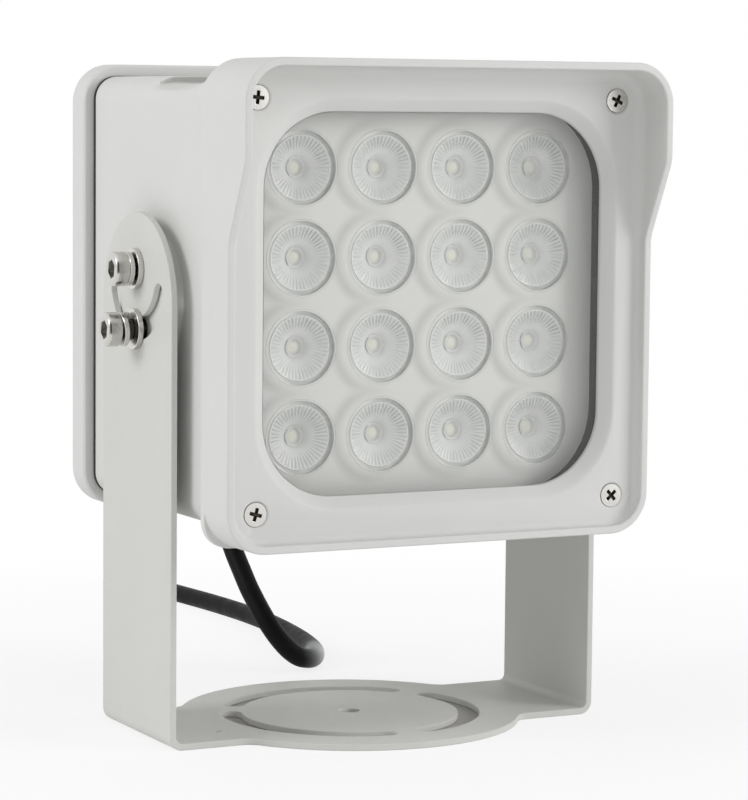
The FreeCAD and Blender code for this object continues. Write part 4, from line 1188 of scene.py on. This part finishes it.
@dataclass
class SpringWashers:
    """Split spring washers: closed under the pivot screws and open under the slack lock screws.

    Each place gives the height, the lift off the flat washer, the rise and the split's angle.
    """

    inner: float = 3.2 * MM
    outer: float = 4.95 * MM
    thick: float = 1.6 * MM
    start: float = 71.85 * MM
    pivot: tuple = (137.5 * MM, 0.5 * MM, 0.0, 100)
    lock: tuple = (120.0 * MM, 0.3 * MM, 2.4 * MM, 88)
    gap: float = 14.0
    around: int = 72
    edge: float = 0.22 * MM
    # Painted shade, per point of the section: deepest in the bore and on the flat faces towards it.
    tones: tuple = (0.9, 0.5, 0.0, 0.0, 0.5, 0.9, 1.0, 1.0)

    def ring(self, side: int, height: float, lift: float, rise: float, opening: float) -> Sheet:
        """Return one washer: a rectangle with its corners cut, carried round a short helix.

        Args:
            side: -1 for the left arm and 1 for the right.
            height: The height of the washer's axis.
            lift: How far it stands off the flat washer.
            rise: How far the helix climbs over its turn.
            opening: The angle in degrees that its split looks to, from the front and upwards.

        Returns:
            The washer's grid.
        """
        inner, outer, thick, low = self.inner, self.outer, self.thick, self.edge
        near, far, high = inner + low, outer - low, thick - low
        radius = np.array([near, far, outer, outer, far, near, inner, inner])
        level = np.array([0.0, 0.0, low, high, thick, thick, high, low])
        share = np.linspace(0, 1, self.around)[:, None]
        turn = math.radians(opening + self.gap / 2) + share * math.radians(360 - self.gap)
        out = self.start + lift + rise * share + level
        grid = turned(radius, np.pi - turn, side * out, (0.0, 0.0, height), Axis.X)
        first, last = (np.broadcast_to(end.mean(axis=0), (1, *end.shape)) for end in (grid[0], grid[-1]))
        return Sheet(np.concatenate([first, grid, last]), tones=np.array(self.tones))

    def build(self, steel: Material) -> None:
        """Make the four washers."""
        sheets = [self.ring(side, *place) for side in (-1, 1) for place in (self.pivot, self.lock)]
        piece = shell("spring_washers", sheets, [steel], angle=32)
        deliver(piece, Body.HEAD, "stainless", "m6_spring_washers")


@dataclass
class CapScrews:
    """Low-head M6 socket screws: two tight ones at the pivot and two slack ones in the lock slots.

    Each row of the socket gives a share of its hexagon and how far out it lies in millimetres, and each
    row of the rest a radius and how far out.
    """

    arm_face: float = 70.15 * MM
    pivot: tuple = (137.5 * MM, 3.85 * MM)
    lock: tuple = (120.0 * MM, 6.1 * MM)
    socket_half: float = 2.5 * MM
    socket_turn: float = 0.35
    around: int = 96
    socket: tuple = ((0.0, 1.5), (0.96, 1.5), (1.0, 1.65), (1.0, 3.9), (1.07, 4.16))
    rest: tuple = (
        *((3.3, 4.2), (4.1, 4.2), (4.42, 4.15), (4.68, 4.02), (4.86, 3.82), (4.96, 3.58), (5.0, 3.3)),
        *((5.0, 0.25), (4.9, 0.08), (4.7, 0.0), (2.95, 0.0), (2.95, -13.0), (2.4, -13.6), (0.0, -13.6)),
    )
    # Painted shade in the socket, row by row; the next fields give the painted reflection and the shaded rows
    # under the head.
    socket_shade: tuple = (0.5, 0.45, 0.3, 0.0)
    painted_reflection_points: tuple = (8, 12)
    painted_reflection_tones: tuple = (0.6, 1.0, 1.0, 0.4)
    painted_reflection: tuple = (math.pi - 0.15, 0.9, 0.98)
    underside_shade_points: int = 5

    def screw(self, side: int, height: float, clear: float) -> Sheet:
        """Return one screw: a profile turned about its axis, with a hexagon for its socket's rows.

        The hexagon's radius is its half width divided by the cosine of the angle to the nearest flat.
        The tones paint shade in the socket, under the head and over the shank, and a painted reflection,
        darker, down the front of the head's rounded edge.

        Args:
            side: -1 for the left arm and 1 for the right.
            height: The height of its axis.
            clear: How far its head's underside stands off the arm.

        Returns:
            The screw's grid.
        """
        turn = circle(self.around)
        hexagon = self.socket_half / np.cos(np.mod(turn + self.socket_turn, np.pi / 3) - np.pi / 6)
        share, socket_out = columns_of(self.socket)
        rest, rest_out = columns_of(self.rest)
        radius = np.concatenate([share * hexagon, np.repeat(rest * MM, self.around, axis=1)])
        out = self.arm_face + clear + np.concatenate([socket_out, rest_out]) * MM
        tones = np.zeros(radius.shape)
        # Painted shade in the socket, under the head and over the shank.
        tones[: len(self.socket_shade)] = np.array(self.socket_shade)[:, None]
        tones[-self.underside_shade_points :] = 1.0
        # Painted reflection, darker, down the front of the head's rounded edge.
        painted_reflection = np.array(self.painted_reflection_tones)[:, None] * facing(turn, *self.painted_reflection)
        tones[slice(*self.painted_reflection_points)] = painted_reflection
        return Sheet(turned(radius, turn, side * out, (0.0, 0.0, height), Axis.X), tones=tones)

    def build(self, steel: Material) -> None:
        """Make the four screws."""
        sheets = [self.screw(side, *place) for side in (-1, 1) for place in (self.pivot, self.lock)]
        piece = shell("cap_screws", sheets, [steel], angle=32)
        deliver(piece, Body.HEAD, "stainless", "m6_cap_screws")


@dataclass
class Hollows:
    """Soft inner corner between the bezel's face and the walls of its rim and hood.

    The pair corner_side gives its outlines' steps in each corner and points along each side.
    """

    half_x: float = 65.5 * MM
    half_z: float = 66.45 * MM
    corner: float = 9.7 * MM
    low_radius: float = 1.6 * MM
    hood_radius: float = 3.6 * MM
    rise: tuple = (138 * MM, 168 * MM)
    buried: float = 0.3 * MM
    corner_side: tuple = (14, 40)
    arc_points: int = 11

    def build(self, paint: Material) -> None:
        """Make the filler.

        A quarter circle runs round the inside of the rim. Its radius grows from the low rim to the hood,
        and behind it the filler reaches a little into the casting.

        Args:
            paint: Its material.
        """
        wall = rounded(self.half_x, self.half_z, self.corner, *self.corner_side)
        inner = rounded(self.half_x - MM, self.half_z - MM, self.corner - MM, *self.corner_side)
        grown = smooth(wall[:, 1] + HEAD_UP, *self.rise)
        radius = self.low_radius + (self.hood_radius - self.low_radius) * grown
        turn = np.linspace(0, np.pi / 2, self.arc_points)[:, None]
        inset = radius * (1 - np.cos(turn))
        level = FACE_AT - radius * (1 - np.sin(turn))
        sink = np.full((1, len(wall)), self.buried)
        inset = np.concatenate([inset, inset[-1:], -sink, -sink, inset[:1]])
        level = np.concatenate([level, FACE_AT + sink, FACE_AT + sink, level[:1], level[:1]])
        place = wall + (inner - wall) * (inset / MM)[:, :, None]
        grid = np.stack([place[:, :, 0], level, HEAD_UP + place[:, :, 1]], axis=-1)
        deliver(shell("bezel_hollows", [Sheet(grid)], [paint], angle=40), Body.HEAD, "case_paint")


@dataclass
class Housing:
    """Cast housing whose skin dips in a trough behind the hood and then flows up into it.

    Each row of the flange gives a share of its outline and a distance along Y in millimetres, and each
    row of a boss a share of its radius and a depth in millimetres. The pair corner_side gives the
    outlines' steps in each corner and points along each side.
    """

    half_x: float = 63.8 * MM
    half_z: float = 63.9 * MM
    corner: float = 7.0 * MM
    wall: float = 3.0 * MM
    top_wall: float = 5.3 * MM
    rear: float = 47.9 * MM
    front: float = -43.3 * MM
    end_step: float = 0.12 * MM
    bezel: tuple = (67.7 * MM, 68.65 * MM, 11.9 * MM)
    lip: tuple = (67.75 * MM, 68.7 * MM, 8.0 * MM)
    lip_change: tuple = (-20 * MM, 20 * MM)
    web: tuple = (-31.6 * MM, -27.6 * MM)
    trough: tuple = (11 * MM, 3 * MM, -20 * MM, -36 * MM)
    trough_deep: float = 2.6 * MM
    overhang: float = 9.0 * MM
    overhang_end: float = 40 * MM
    bow_middle: float = -10 * MM
    bow_half: float = 32 * MM
    bow_shares: tuple = (0.6, 0.4)
    top_share: float = 0.72
    edge_share: float = 0.5
    flow: tuple = (-28 * MM, -43 * MM)
    flow_up: tuple = (150 * MM, 186 * MM)
    boss_radius: float = 18.5 * MM
    boss_face: float = 67.85 * MM
    boss_up: float = 128.75 * MM
    boss_edge: float = 0.4 * MM
    boss_steps: int = 128
    steps: int = 64
    corner_side: tuple = (12, 30)
    flange_rows: tuple = (
        *((0.88, -41.4), (0.994, -41.4), (1.0, -41.7)),
        *((1.0, -44.2), (0.88, -44.2), (0.88, -41.4)),
    )
    boss_rows: tuple = (
        *((0.0, 0.0), (1.0, 0.0), (1.0, 0.4), (1.004, 2.6), (1.02, 3.3)),
        *((1.045, 3.8), (1.08, 4.06), (1.08, 5.0), (0.0, 5.0)),
    )

    def section(self, level: float) -> np.ndarray:
        """Return the skin's outline at one distance along the housing.

        Between the plain outline and the bezel's, each point moves by an eased share of the distance
        along the housing, and only near the top. The top edge dips by a bump in front of the rear cover,
        and the rows behind the bump lean forward over it.

        Args:
            level: The distance along Y.

        Returns:
            An array of x, y and z.
        """
        plain = rounded(self.half_x, self.half_z, self.corner, *self.corner_side)
        hood = rounded(*self.bezel, *self.corner_side)
        share = smooth(level, *self.flow) * smooth(plain[:, 1] + HEAD_UP, *self.flow_up)
        rear_wall, rear_foot, front_foot, front_end = self.trough
        entered = smooth(level, rear_wall, rear_foot)
        dip = entered * (1 - smooth(level, front_foot, front_end))
        hang = self.overhang * (1 - entered) * (1 - smooth(level, rear_wall, self.overhang_end))
        least, more = self.bow_shares
        bowed = least + more * np.cos((level - self.bow_middle) / self.bow_half * np.pi)
        place = plain + (hood - plain) * share[:, None]
        top = smooth(plain[:, 1], self.half_z - self.corner * self.top_share, self.half_z)
        edge = smooth(plain[:, 1], self.half_z - self.corner * self.edge_share, self.half_z)
        height = HEAD_UP + place[:, 1] - self.trough_deep * dip * bowed * top
        return np.stack([place[:, 0], level - hang * edge, height], axis=-1)

    def cavity(self, level: float, share: float = 1.0) -> np.ndarray:
        """Return the outline of the hollow inside, or of a share of it."""
        half_x, half_z = self.half_x - self.wall, self.half_z - self.top_wall
        inner = rounded(half_x, half_z, self.corner - self.wall, *self.corner_side)
        return upright(inner * share, level)

    def flange(self) -> Sheet:
        """Return the thin flange behind the bezel, with tighter corners at the bottom than at the top."""
        half_x, half_z, corner = self.lip
        tight = rounded(half_x, half_z, corner, *self.corner_side)
        loose = rounded(half_x, half_z, self.bezel[2], *self.corner_side)
        outline = tight + (loose - tight) * smooth(tight[:, 1], *self.lip_change)[:, None]
        return Sheet(np.stack([upright(outline * share, level * MM) for share, level in self.flange_rows]))

    def boss(self, side: int) -> Sheet:
        """Return the round boss that backs one arm: a disc with a soft foot.

        Args:
            side: -1 for the left and 1 for the right.

        Returns:
            The boss's grid.
        """
        share, depth = columns_of(self.boss_rows)
        radius = share * self.boss_radius
        radius[1] -= self.boss_edge
        out = side * (self.boss_face - depth * MM)
        return Sheet(turned(radius, circle(self.boss_steps), out, (0.0, 0.0, self.boss_up), Axis.X))

    def build(self, paint: Material) -> None:
        """Make the housing.

        Args:
            paint: Its material.
        """
        levels = np.linspace(self.rear - self.end_step, self.front + self.end_step, self.steps)
        web_front, web_rear = self.web
        rows = [
            self.cavity(web_rear, 0.0),
            self.cavity(web_rear),
            self.cavity(self.rear),
            self.section(self.rear),
            *[self.section(level) for level in levels],
            self.section(self.front),
            self.cavity(self.front),
            self.cavity(web_front),
            self.cavity(web_front, 0.0),
        ]
        sheets = [Sheet(np.stack(rows)), self.flange(), self.boss(-1), self.boss(1)]
        deliver(shell("housing", sheets, [paint]), Body.HEAD, "case_paint", "main_housing")


@dataclass(frozen=True)
class RubberFrame:
    """Flat black rubber frame in the head, given by its two outlines and its front and rear."""

    name: str
    node: str
    outer: tuple
    inner: tuple
    levels: tuple

    def build(self, rubber: Material) -> None:
        """Make the frame: a rectangular section carried between its two outlines.

        Args:
            rubber: Its material.
        """
        outer, inner = rounded(*self.outer), rounded(*self.inner)
        front, rear = self.levels
        path = ((outer, front), (outer, rear), (inner, rear), (inner, front), (outer, front))
        grid = np.stack([upright(outline, level) for outline, level in path])
        deliver(shell(self.name, [Sheet(grid)], [rubber]), Body.HEAD, "black_rubber", self.node)


@dataclass
class Gland:
    """Black nylon cable gland at the middle of the rear cover.

    Each row of the cap gives how far along it lies and its radius in millimetres, and the share of
    their depth that the grooves between its ribs have there.
    """

    height: float = 92.0 * MM
    cap_start: float = 66.0 * MM
    body_edge: float = 0.3 * MM
    ribs: int = 18
    rib_steps: int = 8
    rib_deep: float = 0.55 * MM
    rib_wave: tuple = (1.6, 0.5)
    rows: tuple = (
        *((0.0, 7.55, 0.0), (0.0, 9.5, 0.0), (0.3, 9.8, 0.0), (0.8, 9.8, 0.0), (1.2, 10.0, 1.0)),
        *((6.0, 10.0, 1.0), (9.5, 10.0, 1.0), (10.6, 9.9, 0.6), (12.0, 9.5, 0.0), (13.2, 8.8, 0.0)),
        *((14.2, 7.6, 0.0), (14.8, 6.2, 0.0), (15.0, 5.2, 0.0), (15.0, 3.9, 0.0), (14.6, 3.6, 0.0)),
        *((12.0, 3.6, 0.0), (12.0, 7.55, 0.0), (0.0, 7.55, 0.0)),
    )

    def cap(self, nylon: Material) -> Piece:
        """Make the ribbed cap.

        Its radius follows a turned profile, less a groove between the ribs that fades out over the dome.

        Args:
            nylon: The cap's material.

        Returns:
            The new object.
        """
        turn = circle(self.ribs * self.rib_steps)
        steep, low = self.rib_wave
        wave = np.clip(np.cos(turn * self.ribs) * steep - low, 0, 1)
        along, radius, share = columns_of(self.rows)
        wide = radius * MM - self.rib_deep * share * wave
        grid = turned(wide, turn, along * MM, (0.0, self.cap_start, self.height))
        return shell("gland_nut", [Sheet(grid)], [nylon], angle=30)

    def build(self) -> None:
        """Make the gland's body and cap."""
        nylon = Moulded("black nylon", NYLON, roughness=0.42, grain=0.8 * MM, depth=0.02 * MM).material()
        deliver(self.cap(nylon), Body.HEAD, "gland_nylon", "gland_cap")
        body = softened("cable_gland", "gland_body", nylon, self.body_edge)
        deliver(body, Body.HEAD, "gland_nylon", "cable_gland")


@dataclass
class Case:
    """Cast and coated head: bezel, housing, rear cover and the folded bracket that holds them."""

    bezel_edge: float = 0.55 * MM
    cover_edge: float = 0.2 * MM
    bracket_edge: float = 0.35 * MM
    washer_edge: float = 0.2 * MM
    gasket: RubberFrame = RubberFrame(
        name="cover_gasket",
        node="rear_gasket",
        outer=(63.98 * MM, 64.08 * MM, 7.15 * MM),
        inner=(60.98 * MM, 61.08 * MM, 4.15 * MM),
        levels=(47.92 * MM, 49.18 * MM),
    )
    seal: RubberFrame = RubberFrame(
        name="pane_seal",
        node="glass_seal",
        outer=(59.9 * MM, 59.9 * MM, 21.0 * MM),
        inner=(56.4 * MM, 56.4 * MM, 24.0 * MM),
        levels=(-48.6 * MM, PLATE_AT),
    )

    def build(self) -> None:
        """Make the coated pieces and their screws, washers and rubber frames."""
        paint = PowderCoat("case paint").material()
        sheet = PowderCoat("bracket paint", colour=(0.66, 0.66, 0.635), peel_depth=0.02 * MM).material()
        rubber = Moulded("gasket rubber", RUBBER, roughness=0.6).material()
        steel = Metal("stainless", (0.66, 0.65, 0.62)).material()
        # Its sunk colour is the painted shade in the socket and under the head, and the painted reflection on
        # the head's front.
        cap_finish = Metal("cap screw steel", (0.62, 0.61, 0.58), roughness=0.2, sunk=(0.05, 0.045, 0.035))
        cap_steel = cap_finish.material()
        bezel = softened("front_bezel", "bezel", paint, self.bezel_edge)
        deliver(bezel, Body.HEAD, "case_paint", "front_bezel")
        cover = softened("rear_cover", "cover", paint, self.cover_edge)
        deliver(cover, Body.HEAD, "case_paint", "rear_cover")
        Hollows().build(paint)
        Housing().build(paint)
        self.gasket.build(rubber)
        self.seal.build(rubber)
        bracket = softened("mounting_bracket", "bracket", sheet, self.bracket_edge)
        deliver(bracket, Body.BRACKET, "bracket_paint", "mounting_bracket")
        washers = softened("m6_flat_washers", "flat_washers", steel, self.washer_edge)
        deliver(washers, Body.HEAD, "stainless", "m6_flat_washers")
        CapScrews().build(cap_steel)
        CaseScrews().build(steel)
        SpringWashers().build(steel)


class Fitted:
    """CAD nodes that keep their shape and get their finish."""

    def finishes(self) -> dict[str, Material]:
        """Return the material of each node that stays."""
        rubber = Moulded("black rubber", RUBBER, roughness=0.6).material()
        steel = Metal("zinc screws", (0.6, 0.6, 0.58), roughness=0.3).material()
        can = Metal("capacitor can", (0.5, 0.5, 0.52), roughness=0.3).material()
        found = {
            "front_glass": Clear("pane glass").material(),
            "bezel_gasket": rubber,
            "lamp_board": Board("lamp board", (0.78, 0.78, 0.76)).material(),
            "thermal_pad": Moulded("silicone pad", (0.35, 0.37, 0.4), roughness=0.7).material(),
            "lamps": Moulded("lamp dome", (0.8, 0.76, 0.42), roughness=0.25).material(),
            "lamp_board_screws": steel,
            "driver_board_screws": steel,
            "driver_board": Board("driver board", (0.03, 0.16, 0.06)).material(),
            "board_standoffs": Metal("brass standoffs", (0.72, 0.55, 0.25)).material(),
            "driver_capacitor_1": can,
            "driver_capacitor_2": can,
            "driver_transformer": Moulded("transformer tape", (0.6, 0.45, 0.1), roughness=0.5).material(),
            "driver_chip": Moulded("chip case", (0.03, 0.03, 0.03), roughness=0.5).material(),
            "terminal_block": Moulded("terminal plastic", (0.05, 0.25, 0.12), roughness=0.45).material(),
            "cable_inlet": Moulded("inlet jacket", (0.015, 0.015, 0.016), roughness=0.5).material(),
            "gland_lock_nut": Moulded("nylon nut", NYLON, roughness=0.42).material(),
            "gland_seal": rubber,
        }
        for number, name, colour in ((1, "red lead", RED), (2, "black lead", BLACK)):
            lead = Moulded(name, colour, roughness=0.4).material()
            found[f"supply_lead_{number}"] = found[f"lamp_lead_{number}"] = lead
        return found

    def build(self) -> None:
        """Dress the nodes that are still shown."""
        for node, material in self.finishes().items():
            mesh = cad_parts[node].data
            mesh.materials.clear()
            mesh.materials.append(material)
            log.info("%s keeps its CAD shape", node)


def main() -> None:
    """Build the scene in order."""
    logging.basicConfig(level=logging.INFO, format="%(name)s: %(message)s")
    Studio().build()
    Cable().build()
    Case().build()
    Optics().build()
    Gland().build()
    Fitted().build()


if __name__ == "__main__":
    main()
